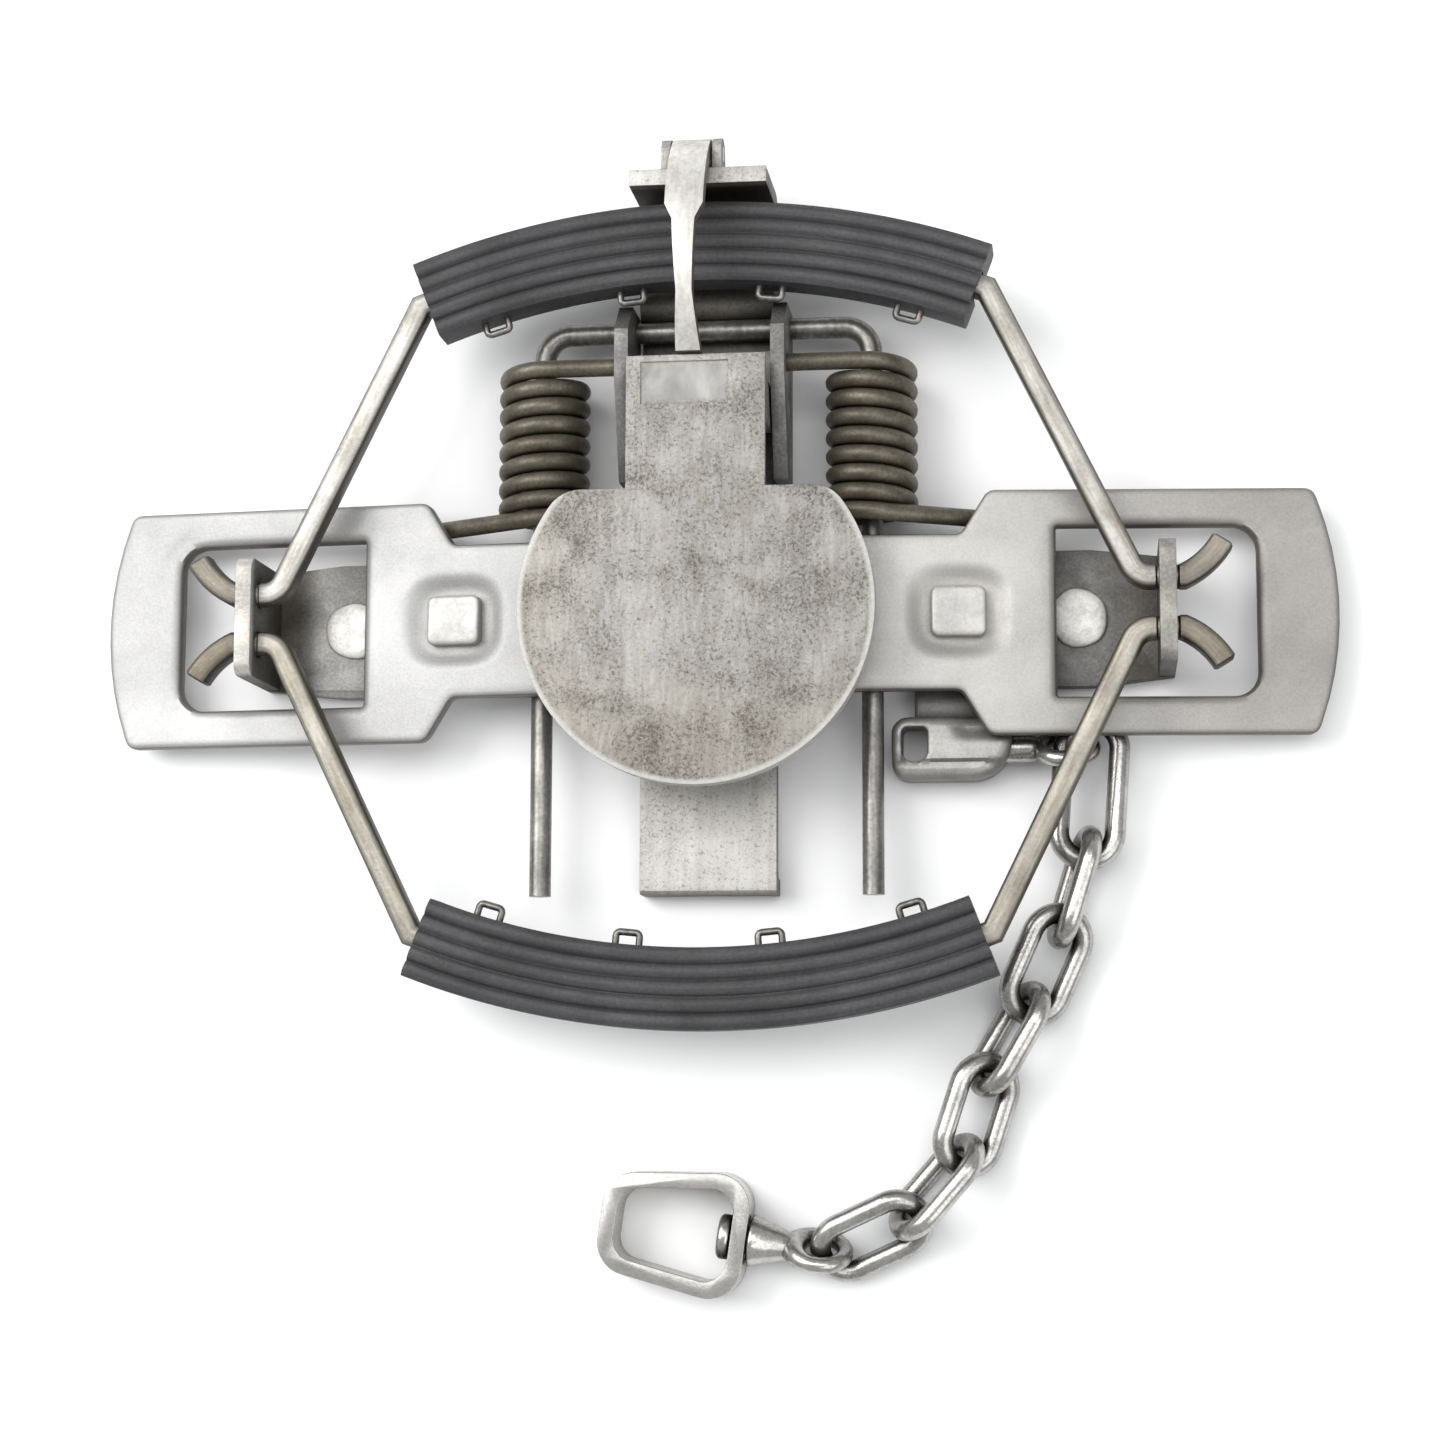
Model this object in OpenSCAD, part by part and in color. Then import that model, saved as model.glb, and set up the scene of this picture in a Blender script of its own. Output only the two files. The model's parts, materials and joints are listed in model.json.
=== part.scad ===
// Double coil-spring foothold trap with padded jaws, in its set position.
// Origin: centre of the base strip's underside. +X to the right lever, +Y to the dog, +Z up. Millimetres.

/* [Base strip] */
// Clear width between the two jaw posts
jaw_span = 165; // [150:1:185]
// Width of the base strip and of the cross strip
strip_w = 25.4; // [23:0.1:28]
// Thickness of both strips
strip_t = 3; // [2.6:0.1:3.4]
// Width of a jaw post
post_w = 22; // [20:0.5:24]
// Metal above the jaw pivots on a post
post_crown = 5.5; // [4.5:0.5:7]
// Head diameter of the two base rivets
base_rivet_d = 11; // [8:0.5:13]

/* [Cross frame] */
// From the centre to the outside of the foot
foot_y = 50.5; // [46:0.5:56]
// From the centre to the inner face of the dog post
dog_post_y = 78.5; // [78:0.5:84]
// Wall thickness of the pan bracket
bracket_t = 2.6; // [2:0.1:3]
// From the centre to the south end of the pan bracket
bracket_y = 25; // [22.5:0.5:30]

/* [Springs and levers] */
// Diameter of the bent spring rod
rod_d = 4; // [3.4:0.1:4.4]
// From the centre to each leg of the rod
rod_x = 30.7; // [29:0.1:33]
// From the centre to the bridge of the rod
rod_bridge_y = 54.6; // [53:0.1:55.5]
// Wire of the coil springs
spring_wire = 3; // [2.6:0.1:3]
// Outside diameter of the coil springs
spring_od = 16.8; // [16:0.1:18]
// Step from one turn to the next
spring_pitch = 3.5; // [3.5:0.05:3.6]
// Turns of each spring
spring_turns = 8; // [6:1:8]
// Width of a lever
lever_w = 45; // [42:0.5:48]
// Width of a lever's neck
neck_w = 28.6; // [26:0.2:30]
// Thickness of a lever
lever_t = 3; // [2.6:0.1:3.2]
// Width of a lever's window
window_w = 31; // [29.5:0.5:33]
// Slope of the levers when the trap is set
lever_slope = 5; // [4.5:0.5:5.5]

/* [Jaws and pads] */
// Distance between the two jaw axes
jaw_sep = 9.2; // [8.8:0.1:10]
// Height of the jaw axes above the ground
jaw_z = 18; // [17.8:0.1:19]
// Diameter of a jaw pivot
pivot_d = 4.6; // [4.2:0.1:4.6]
// Width of a jaw bar, seen from above
bar_w = 4.2; // [3.6:0.1:5]
// Height of a jaw bar
bar_h = 5; // [4.8:0.1:5.2]
// From the centre to the middle of a pad
pad_y = 68.4; // [67:0.1:69]
// Radius of a pad's curve
pad_r = 142.6; // [130:0.2:160]
// Half the length of a pad
pad_half = 51; // [48:0.5:53]
// Width of a pad
pad_w = 14.8; // [13:0.2:15]
// Depth of a pad
pad_h = 8.8; // [8:0.1:9.4]

/* [Pan and dog] */
// Radius of the pan
pan_r = 32.4; // [30:0.2:34]
// Width of the pan's stem
stem_w = 25.4; // [22:0.2:27]
// Thickness of the pan
pan_t = 1.6; // [1.2:0.1:2]
// From the centre to the pan's lip
lip_y = 46; // [45.5:0.1:46.4]
// Thickness of the dog
dog_t = 2.8; // [2.2:0.1:3.2]
// Width of the dog's head
dog_w = 7; // [6.4:0.2:8]

/* [Chain] */
// Wire of the chain links
link_wire = 3.8; // [3.2:0.1:3.9]
// Width of a link between its wire centres
link_w = 10.1; // [10:0.1:11]
// Step from link to link
link_pitch = 14.9; // [14.6:0.1:15.4]
// Step of the long first link
first_pitch = 21; // [20:0.5:23]

/* [Hidden] */
$fn = 48;

// Seat gap between loose faces, and radial clearance of a pin in its bore
gap = 0.3;
run = 0.04;
// Length that makes a cut pass right through
through = 200;

// Base strip
post_x = jaw_span / 2;
post_out = post_x + strip_t;
post_top = jaw_z + post_crown;
post_round = 2.5;
strip_shoulder = post_x - 12;
shank_d = 6;
base_rivet_x = post_x - 14.4;
rivet_h = 2.4;
base_rivet_h = 1.3;

// Cross frame: its flat lies on the base strip
flat_z = strip_t;
flat_top = 2 * strip_t;
foot_bend = 1.5;
post_bend = 2;
pad_face = jaw_z + jaw_sep / 2 - gap;
dog_pin_d = 3;
dog_pin_y = dog_post_y + strip_t + 3.5;
dog_pin_z = pad_face - 1.8;
dog_post_top = dog_pin_z + 3.4;
dog_x = -1.2;
rib_r = 4;
rib_y = rod_bridge_y + 5.4;
ear_t = 1.8;
ear_r = 2.9;

// Springs on the rod
rod_z = spring_od / 2 + 0.6;
rod_bend = 5;
rod_end_y = -51;
coil_r = (spring_od - spring_wire) / 2;
coil_y = 46.5;
leg_hole_d = spring_wire + 2 * gap;
leg_start_turn = 27;
leg_reach = 24;
rings_a_turn = 8;
sides = 6;

// Pan bracket
bracket_in = stem_w / 2 + 0.4;
bracket_out = bracket_in + bracket_t;
bracket_north = rod_bridge_y + 3.4;
bracket_floor_north = rod_bridge_y - 4;
bracket_top = rod_z + 12;
bracket_low = bracket_top - 6.5;
bracket_rise_y = 44;
bracket_cut = 5.5;
pan_pin_d = 4;
pan_pin_y = 38;
pan_pin_z = flat_top + bracket_t + 4.9;
bracket_rivet_y = [bracket_y + 5, bracket_floor_north - 5];

// Levers: heights are above the rod's axis
lever_h = rod_d / 2 + 0.8;
window_in = post_x - 18.5;
window_out = post_out + 14.7;
window_round = 4.5;
lever_tip = window_out + 14.6;
lever_end_r = 60;
neck_end = rod_x - 4.7;
shoulder_in = rod_x + 16;
shoulder_out = shoulder_in + 5;
dish_x = rod_x + 15.5;
dish_d = 20;
dish_depth = 1.2;
square_w = 10;
square_l = 9.2;
square_h = 2.2;
knuckle_r = rod_d / 2 + 1.6;
knuckle_w = neck_w - 5;
leaf_t = 1.6;
leaf_end = dish_x + 7;

// Jaws
jaw_y = jaw_sep / 2;
arc_y = pad_y - pad_r;
bar_turn = asin((pad_half + 1.5) / pad_r);
arm_end = [pad_r * sin(bar_turn), arc_y + pad_r * cos(bar_turn)];
arm_bend = 4;
arm_root = [post_x - gap, jaw_y];
arm_bend_x = arm_root[0] - 1;
arm_drop = [arm_bend_x - arm_end[0], arm_end[1] - jaw_y - arm_bend];
arm_turn = atan2(arm_drop[1], arm_drop[0]) + asin(arm_bend / norm(arm_drop));
tail_root = [post_out + gap, jaw_y];
tail_bend = 16;
tail_turns = [25, 60];
pivot_in = 3;
bend_steps = 10;
arc_steps = 16;

// Pads
pad_turn = asin(pad_half / pad_r);
pad_grooves = 5;
groove_w = 1;
groove_depth = 0.8;
groove_step = pad_w / pad_grooves;
slot_half = bar_w / 2 + gap;
slot_top = jaw_z + bar_h / 2 + gap;
clip_turns = [-16.5, -5.5, 5.5, 16.5];
clip_r = 2.2;
clip_wire = 1.4;

// Pan: it hangs on two ears between the bracket's walls
pan_z = pad_face + 1.7;
shoulder_y = 21.5;
shoulder_r = 7;
shoulder_x = sqrt(pow(pan_r - shoulder_r, 2) - pow(shoulder_y - shoulder_r, 2));
shoulder_turn = atan2(shoulder_y - shoulder_r, shoulder_x);
pan_steps = 56;
rim_w = 1.6;
rim_h = 3.6;
pan_ear_r = 4;
patch = [16, 9, 0.4];

// Dog: an arch about a centre below the pad
arch_r = 24.3;
arch_back = 20;
arch_drop = 13.5;
arch_y = dog_pin_y - arch_back;
arch_z = dog_pin_z - arch_drop;
dog_eye_r = 2.8;
shank_w = 4.2;
waist_w = 2.9;
waist_y = 10;
spade_w = 4.8;
toe = 1;
head_back = 13;
head_y = dog_pin_y - head_back;

// Swivels: band rings with a headed stud and a ring eye
stud_d = 5;
base_head_d = 6.2;
end_head_d = 8.2;
end_collar_d = 9.4;
stud_head_t = 2.2;
eye_wire = 3;
eye_r = 4.7;
base_eye_roll = 32;
end_eye_roll = 30;
band_wall = 2;
band_h = 7.2;
base_ring_w = 11.4;
base_ring_l = 22;
base_corner = 2.4;
base_web_l = 13;
base_web_t = 1.2;
base_ring_x = rod_x + rod_d / 2 + 1.3;
swivel_z = band_h / 2 + 2;
lug_h = 4;
swivel_y = -strip_w / 2 - 11.6;
foot_lug_w = 14;
base_stud_out = 9.7;
end_band_wall = 2.8;
end_band_h = 9;
end_ring_w = 24;
end_ring_l = 26.6;
end_corner = 6;
end_far_w = 17;
end_stud_out = 13;

// Chain: headings of the links from the first to the last, their rolls and the heights of their joints
link_gap = 0.75;
headings = [266, 253, 246, 240, 252, 229, 205];
rolls = [0, 77, -25, 60, -30, 60, -30];
joint_z = [swivel_z - 0.2, 6.9, 6.9, 6.4, 6.4, 6.4, 6.4, 5.8];
end_heading = 172;
link_grip = (link_wire + link_gap) / 2;
base_eye_x = base_ring_x + base_ring_l + base_stud_out;
first_reach = ((eye_wire + link_wire) / 2 + link_gap) / cos(base_eye_roll);
chain_start = [base_eye_x + eye_r, swivel_y + first_reach - link_grip];
function step(i) = i == 0 ? first_pitch : link_pitch;
function plan(i) =
    i == 0 ? chain_start : plan(i - 1) + step(i - 1) * [cos(headings[i - 1]), sin(headings[i - 1])];
function joint(i) = concat(plan(i), [joint_z[i]]);
end_dir = [cos(end_heading), sin(end_heading), 0];
end_eye = joint(7) + (eye_r - (eye_wire + link_gap) / 2) * end_dir;

// Spring path, for the right-hand coil, and the tube round it
coil_turn = 360 * spring_turns + leg_start_turn;
coil_steps = ceil(coil_turn / 360 * rings_a_turn);
function coil_at(a) = [rod_x + coil_r * sin(a), coil_y - spring_pitch * a / 360, rod_z + coil_r * cos(a)];
leg_dir = [cos(coil_turn), 0, -sin(coil_turn)];
coil_path = concat(
    [[bracket_in + gap, coil_y, rod_z + coil_r], [bracket_out + spring_wire, coil_y, rod_z + coil_r]],
    [for (i = [0 : coil_steps]) coil_at(coil_turn * i / coil_steps)],
    [coil_at(coil_turn) + leg_reach / 2 * leg_dir, coil_at(coil_turn) + leg_reach * leg_dir]);
turns_apart = [for (i = [0 : coil_steps - rings_a_turn])
    norm(coil_at(360 * (i + rings_a_turn) / rings_a_turn) - coil_at(360 * i / rings_a_turn))];
echo(spring_least_gap = min(turns_apart) - spring_wire);

function unit(v) = v / norm(v);
function tangent(path, i) = unit(path[min(i + 1, len(path) - 1)] - path[max(i - 1, 0)]);

module tube(path, d) {
    rings = [for (i = [0 : len(path) - 1])
        let (t = tangent(path, i), side = unit(cross(t, [0, 1, 0])), up = cross(side, t))
        [for (k = [0 : sides - 1])
            path[i] + d / 2 * (cos(360 * k / sides) * side + sin(360 * k / sides) * up)]];
    points = [for (ring = rings) for (p = ring) p];
    last = (len(path) - 1) * sides;
    walls = [for (i = [0 : len(path) - 2]) for (k = [0 : sides - 1])
        let (a = i * sides + k, b = i * sides + (k + 1) % sides)
        each [[a, a + sides, b], [b, a + sides, b + sides]]];
    caps = [for (k = [1 : sides - 2]) each [[0, k, k + 1], [last, last + k + 1, last + k]]];
    polyhedron(points, concat(walls, caps));
}

// Round pin or bore along X, centred at the given place
module along_x(at, d, l) {
    translate(at) rotate([0, 90, 0]) cylinder(d = d, h = l, center = true);
}

// Flat shape drawn in Y and Z, made thick along X about the given X
module plate_x(x, t) {
    translate([x, 0, 0]) rotate([90, 0, 90]) linear_extrude(t, center = true) children();
}

// Domed rivet: the head's seat is at the origin and the shank goes down
module rivet(head_d, grip, head_h) {
    dome_r = (head_d * head_d / 4 + head_h * head_h) / (2 * head_h);
    rotate_extrude() intersection() {
        translate([0, head_h - dome_r]) circle(dome_r, $fn = 96);
        square([head_d / 2, head_h]);
    }
    translate([0, 0, -grip]) cylinder(d = shank_d - 2 * run, h = grip + head_h / 4);
}

module quarter_bend(r) {
    intersection() {
        difference() {
            circle(r + strip_t);
            circle(r);
        }
        square(r + strip_t);
    }
}

module base_strip() {
    ends = [for (s = [-1, 1]) s * (post_x + strip_t / 2)];
    color("#8d8a85") difference() {
        union() {
            linear_extrude(strip_t) polygon([
                [-post_out, -post_w / 2], [-strip_shoulder, -strip_w / 2],
                [strip_shoulder, -strip_w / 2], [post_out, -post_w / 2],
                [post_out, post_w / 2], [strip_shoulder, strip_w / 2],
                [-strip_shoulder, strip_w / 2], [-post_out, post_w / 2]]);
            for (x = ends) plate_x(x, strip_t) {
                translate([-post_w / 2, 0]) square([post_w, post_top - post_round]);
                translate([post_round - post_w / 2, 0]) square([post_w - 2 * post_round, post_top]);
                for (s = [-1, 1]) translate([s * (post_w / 2 - post_round), post_top - post_round])
                    circle(post_round);
            }
        }
        for (x = ends) for (s = [-1, 1]) along_x([x, s * jaw_y, jaw_z], pivot_d + 2 * run, 2 * strip_t);
        for (x = [-base_rivet_x, 0, base_rivet_x]) translate([x, 0, 0])
            cylinder(d = shank_d, h = through, center = true);
    }
}

module cross_frame() {
    post_y = dog_post_y + strip_t / 2;
    ears = [for (s = [-1, 1]) dog_x + s * ((dog_w + ear_t) / 2 + gap)];
    color("#8a8782") difference() {
        union() {
            plate_x(0, strip_w) {
                south = -foot_y + strip_t + foot_bend;
                north = dog_post_y - post_bend;
                translate([south, flat_z]) square([north - south, strip_t]);
                translate([south, flat_z - foot_bend]) rotate(90) quarter_bend(foot_bend);
                translate([-foot_y, 0]) square([strip_t, flat_z - foot_bend]);
                translate([north, flat_top + post_bend]) rotate(270) quarter_bend(post_bend);
                translate([dog_post_y, flat_top + post_bend])
                    square([strip_t, dog_post_top - flat_top - post_bend]);
            }
            intersection() {
                along_x([0, rib_y, flat_top], 2 * rib_r, strip_w);
                translate([-strip_w, 0, flat_top - strip_t / 2]) cube([2 * strip_w, through, through]);
            }
            for (x = ears) plate_x(x, ear_t) {
                translate([post_y, dog_pin_z - ear_r]) square([dog_pin_y - post_y, 2 * ear_r]);
                translate([dog_pin_y, dog_pin_z]) circle(ear_r);
            }
        }
        along_x([dog_x, dog_pin_y, dog_pin_z], dog_pin_d + 2 * run, through);
        for (y = concat([0], bracket_rivet_y)) translate([0, y, 0])
            cylinder(d = shank_d, h = through, center = true);
    }
}

module centre_rivet() {
    color("#76736e") translate([0, 0, flat_top]) rivet(12, flat_top, rivet_h);
}

module base_rivets() {
    color("#8c847a") for (s = [-1, 1]) translate([s * base_rivet_x, 0, strip_t])
        rivet(base_rivet_d, strip_t, base_rivet_h);
}

module pan_bracket() {
    color("#7d7a75") difference() {
        union() {
            translate([-bracket_out, bracket_y, flat_top])
                cube([2 * bracket_out, bracket_floor_north - bracket_y, bracket_t]);
            for (s = [-1, 1]) plate_x(s * (bracket_in + bracket_t / 2), bracket_t) polygon([
                [bracket_y, flat_top], [bracket_north, flat_top], [bracket_north, bracket_top - bracket_cut],
                [bracket_north - bracket_cut, bracket_top], [bracket_rise_y, bracket_top],
                [bracket_y, bracket_low]]);
        }
        along_x([0, rod_bridge_y, rod_z], rod_d + 2 * run, through);
        along_x([0, coil_y, rod_z + coil_r], leg_hole_d, through);
        along_x([0, pan_pin_y, pan_pin_z], pan_pin_d + 2 * run, through);
        for (y = bracket_rivet_y) translate([0, y, 0]) cylinder(d = shank_d, h = through, center = true);
    }
}

module bracket_rivets() {
    color("#76736e") for (y = bracket_rivet_y) translate([0, y, flat_top + bracket_t])
        rivet(9, bracket_t + strip_t, rivet_h);
}

module spring_rod() {
    leg = rod_bridge_y - rod_bend - rod_end_y;
    color("#77736d") {
        along_x([0, rod_bridge_y, rod_z], rod_d, 2 * (rod_x - rod_bend));
        for (s = [-1, 1]) {
            translate([s * (rod_x - rod_bend), rod_bridge_y - rod_bend, rod_z])
                rotate([0, 0, s > 0 ? 0 : 90]) rotate_extrude(angle = 90)
                    translate([rod_bend, 0]) circle(d = rod_d);
            translate([s * rod_x, rod_end_y, rod_z]) rotate([-90, 0, 0]) cylinder(d = rod_d, h = leg);
        }
    }
}

module pan_pin() {
    color("#807c76") along_x([0, pan_pin_y, pan_pin_z], pan_pin_d, 2 * bracket_out);
}

module dog_pin() {
    color("#807c76") along_x([dog_x, dog_pin_y, dog_pin_z], dog_pin_d, dog_w + 2 * (gap + ear_t));
}

module coil_spring() {
    color("#4a4438") tube(coil_path, spring_wire);
}

module left_coil_spring() {
    mirror([1, 0, 0]) coil_spring();
}

module right_coil_spring() {
    coil_spring();
}

// Lever's own frame: X as in the whole, heights above the rod's axis, turned about the rod by the slope
module on_lever() {
    translate([rod_x, 0, rod_z]) rotate([0, lever_slope, 0]) translate([-rod_x, 0, 0]) children();
}

module lever_outline() {
    intersection() {
        translate([lever_tip - lever_end_r, 0]) circle(lever_end_r, $fn = 180);
        polygon([[neck_end, neck_w / 2], [shoulder_in, neck_w / 2], [shoulder_out, lever_w / 2],
            [lever_tip, lever_w / 2], [lever_tip, -lever_w / 2], [shoulder_out, -lever_w / 2],
            [shoulder_in, -neck_w / 2], [neck_end, -neck_w / 2]]);
    }
}

module lever_window() {
    straight = window_out - window_round - window_in;
    translate([window_in, -window_w / 2]) square([straight, window_w]);
    translate([window_in, window_round - window_w / 2])
        square([straight + window_round, window_w - 2 * window_round]);
    for (s = [-1, 1]) translate([window_out - window_round, s * (window_w / 2 - window_round)])
        circle(window_round);
}

module lever() {
    on_lever() difference() {
        translate([0, 0, lever_h]) linear_extrude(lever_t) difference() {
            lever_outline();
            lever_window();
        }
        translate([dish_x, 0, lever_h + lever_t - dish_depth])
            cylinder(d1 = dish_d - 2 * dish_depth, d2 = dish_d, h = dish_depth);
        translate([dish_x, 0, 0]) cylinder(d = shank_d, h = through, center = true);
    }
}

module left_lever() {
    color("#b9b4ab") mirror([1, 0, 0]) lever();
}

module right_lever() {
    color("#aba69d") lever();
}

module knuckle() {
    on_lever() difference() {
        union() {
            translate([rod_x, 0, 0]) rotate([90, 0, 0])
                cylinder(r = knuckle_r, h = knuckle_w, center = true);
            translate([rod_x - knuckle_r, -knuckle_w / 2, 0]) cube([2 * knuckle_r, knuckle_w, lever_h]);
            translate([rod_x, -knuckle_w / 2, lever_h - leaf_t])
                cube([leaf_end - rod_x, knuckle_w, leaf_t]);
        }
        translate([rod_x, 0, 0]) rotate([90, 0, 0])
            cylinder(d = rod_d + 2 * run, h = through, center = true);
        translate([dish_x, 0, 0]) cylinder(d = shank_d, h = through, center = true);
        translate([0, -knuckle_w, lever_h - gap]) cube([through, 2 * knuckle_w, through]);
    }
}

module left_knuckle() {
    color("#85817a") mirror([1, 0, 0]) knuckle();
}

module right_knuckle() {
    color("#85817a") knuckle();
}

module lever_rivet() {
    seat = lever_h + lever_t - dish_depth;
    on_lever() translate([dish_x, 0, 0]) {
        translate([-square_w / 2, -square_l / 2, seat]) cube([square_w, square_l, square_h]);
        translate([0, 0, lever_h - leaf_t - 1.4]) cylinder(d = 9, h = 1.4);
        translate([0, 0, lever_h - leaf_t - 0.7])
            cylinder(d = shank_d - 2 * run, h = seat - lever_h + leaf_t + 1);
    }
}

module left_lever_rivet() {
    color("#a39d93") mirror([1, 0, 0]) lever_rivet();
}

module right_lever_rivet() {
    color("#a39d93") lever_rivet();
}

// Flat bar bent along a path in plan
module bar(path) {
    last = len(path) - 1;
    side = [for (i = [0 : last])
        let (a = unit(path[i] - path[max(i - 1, 0)] + (i == 0 ? path[1] - path[0] : [0, 0])),
            b = unit(path[min(i + 1, last)] - path[i] + (i == last ? path[last] - path[last - 1] : [0, 0])),
            m = unit(a + b))
        bar_w / 2 / (m * a) * [-m[1], m[0]]];
    translate([0, 0, jaw_z - bar_h / 2]) linear_extrude(bar_h)
        polygon(concat(
            [for (i = [0 : last]) path[i] + side[i]],
            [for (i = [last : -1 : 0]) path[i] - side[i]]));
}

module jaw() {
    half_path = concat(
        [for (i = [1 : arc_steps]) let (a = bar_turn * i / arc_steps)
            [pad_r * sin(a), arc_y + pad_r * cos(a)]],
        [for (i = [0 : bend_steps]) let (a = 270 - arm_turn * (1 - i / bend_steps))
            [arm_bend_x, jaw_y + arm_bend] + arm_bend * [cos(a), sin(a)]],
        [arm_root]);
    tail_start = tail_root + [1, 0];
    tail_path = concat([tail_root], [for (i = [0 : bend_steps])
        let (a = tail_turns[0] + (tail_turns[1] - tail_turns[0]) * i / bend_steps)
        tail_start + tail_bend * [sin(a) - sin(tail_turns[0]), cos(tail_turns[0]) - cos(a)]]);
    bar(concat([for (i = [len(half_path) - 1 : -1 : 0]) [-half_path[i][0], half_path[i][1]]],
        [[0, pad_y]], half_path));
    for (s = [0, 1]) mirror([s, 0, 0]) {
        bar(tail_path);
        along_x([(arm_root[0] + tail_root[0]) / 2, jaw_y, jaw_z], pivot_d,
            tail_root[0] - arm_root[0] + 2 * pivot_in);
    }
}

module upper_jaw() {
    color("#7c746a") jaw();
}

module lower_jaw() {
    color("#7c746a") mirror([0, 1, 0]) jaw();
}

module pad() {
    inner = pad_r - pad_w / 2;
    outer = pad_r + pad_w / 2;
    floor_z = pad_face - pad_h;
    translate([0, arc_y, 0]) rotate([0, 0, 90 - pad_turn]) rotate_extrude(angle = 2 * pad_turn, $fn = 180)
        difference() {
            translate([inner, floor_z]) square([pad_w, pad_h]);
            translate([pad_r - slot_half, floor_z - 1]) square([2 * slot_half, slot_top - floor_z + 1]);
            for (i = [1 : pad_grooves - 1])
                translate([inner + i * groove_step - groove_w / 2, pad_face - groove_depth])
                    square([groove_w, 2 * groove_depth]);
        }
}

module upper_pad() {
    color("#2b3036") pad();
}

module lower_pad() {
    color("#2b3036") mirror([0, 1, 0]) pad();
}

module pad_clips() {
    for (a = clip_turns) translate([0, arc_y, jaw_z]) rotate([0, 0, 90 + a])
        translate([pad_r - pad_w / 2 - 0.1, 0, 0]) rotate([0, 0, 90]) rotate_extrude(angle = 180)
            translate([clip_r, 0]) circle(d = clip_wire, $fn = 24);
}

module upper_pad_clips() {
    color("#55534f") pad_clips();
}

module lower_pad_clips() {
    color("#55534f") mirror([0, 1, 0]) pad_clips();
}

module dog() {
    far = 2 * arch_r;
    eye_turn = atan2(dog_pin_z - arch_z, dog_pin_y - arch_y);
    color("#87827a") difference() {
        intersection() {
            plate_x(dog_x, dog_w) {
                translate([dog_pin_y, dog_pin_z]) circle(dog_eye_r);
                translate([arch_y, arch_z]) intersection() {
                    difference() {
                        circle(arch_r + dog_t, $fn = 120);
                        circle(arch_r, $fn = 120);
                    }
                    polygon([[0, 0], far * [cos(eye_turn), sin(eye_turn)], far * [1, 1], far * [-1, 1],
                        far * [cos(145), sin(145)]]);
                }
            }
            translate([dog_x, 0, 0]) linear_extrude(through) polygon([
                [-dog_w / 2, through], [-dog_w / 2, head_y], [-shank_w / 2, head_y - 3],
                [-waist_w / 2, lip_y + waist_y], [-spade_w / 2, lip_y - toe],
                [spade_w / 2, lip_y - toe], [waist_w / 2, lip_y + waist_y],
                [shank_w / 2, head_y - 3], [dog_w / 2, head_y], [dog_w / 2, through]]);
        }
        translate([dog_x - dog_w, 0, pan_z - gap]) cube([2 * dog_w, lip_y + 0.4, through]);
        along_x([dog_x, dog_pin_y, dog_pin_z], dog_pin_d + 2 * run, through);
    }
}

// Pan seen from above, without its stem, drawn in by a wall
module pan_outline(wall) {
    right = [for (i = [0 : pan_steps]) let (a = -90 + (90 + shoulder_turn) * i / pan_steps)
        (pan_r - wall) * [cos(a), sin(a)]];
    corner = [for (i = [1 : bend_steps]) let (a = shoulder_turn + (90 - shoulder_turn) * i / bend_steps)
        [shoulder_x, shoulder_y - shoulder_r] + (shoulder_r - wall) * [cos(a), sin(a)]];
    half = concat(right, corner);
    polygon(concat(half, [for (i = [len(half) - 1 : -1 : 1]) [-half[i][0], half[i][1]]]));
}

module pan() {
    ear_x = stem_w / 2 - pan_t / 2;
    rim_z = pan_z + pan_t - rim_h;
    stem_root = shoulder_y - 2 * rim_w;
    color("#a9a59c") difference() {
        union() {
            difference() {
                translate([0, 0, rim_z]) linear_extrude(rim_h) pan_outline(0);
                translate([0, 0, rim_z - 1]) linear_extrude(rim_h - pan_t + 1) pan_outline(rim_w);
            }
            translate([-stem_w / 2, stem_root, pan_z]) cube([stem_w, lip_y - stem_root, pan_t]);
            for (s = [-1, 1]) plate_x(s * ear_x, pan_t) {
                translate([pan_pin_y, pan_pin_z]) circle(pan_ear_r);
                translate([pan_pin_y - pan_ear_r, pan_pin_z])
                    square([2 * pan_ear_r, pan_z + pan_t / 2 - pan_pin_z]);
            }
        }
        along_x([0, pan_pin_y, pan_pin_z], pan_pin_d + 2 * run, through);
        translate([-2 - patch[0] / 2, lip_y - patch[1], pan_z + pan_t - patch[2]])
            cube([patch[0], patch[1] - 1.2, patch[2] + 1]);
    }
}

// Corner of a loop drawn with round corners, between the corners before and after it
function round_corner(before, at, after, r) =
    let (u = unit(before - at), v = unit(after - at), half = acos(u * v) / 2,
        c = at + r / sin(half) * unit(u + v), s = at + r / tan(half) * u - c)
    [for (i = [0 : bend_steps]) let (a = (180 - 2 * half) * i / bend_steps)
        c + [s[0] * cos(a) - s[1] * sin(a), s[0] * sin(a) + s[1] * cos(a)]];
function round_loop(ps, r) =
    let (n = len(ps))
    [for (i = [0 : n - 1]) each round_corner(ps[(i + n - 1) % n], ps[i], ps[(i + 1) % n], r)];

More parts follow.
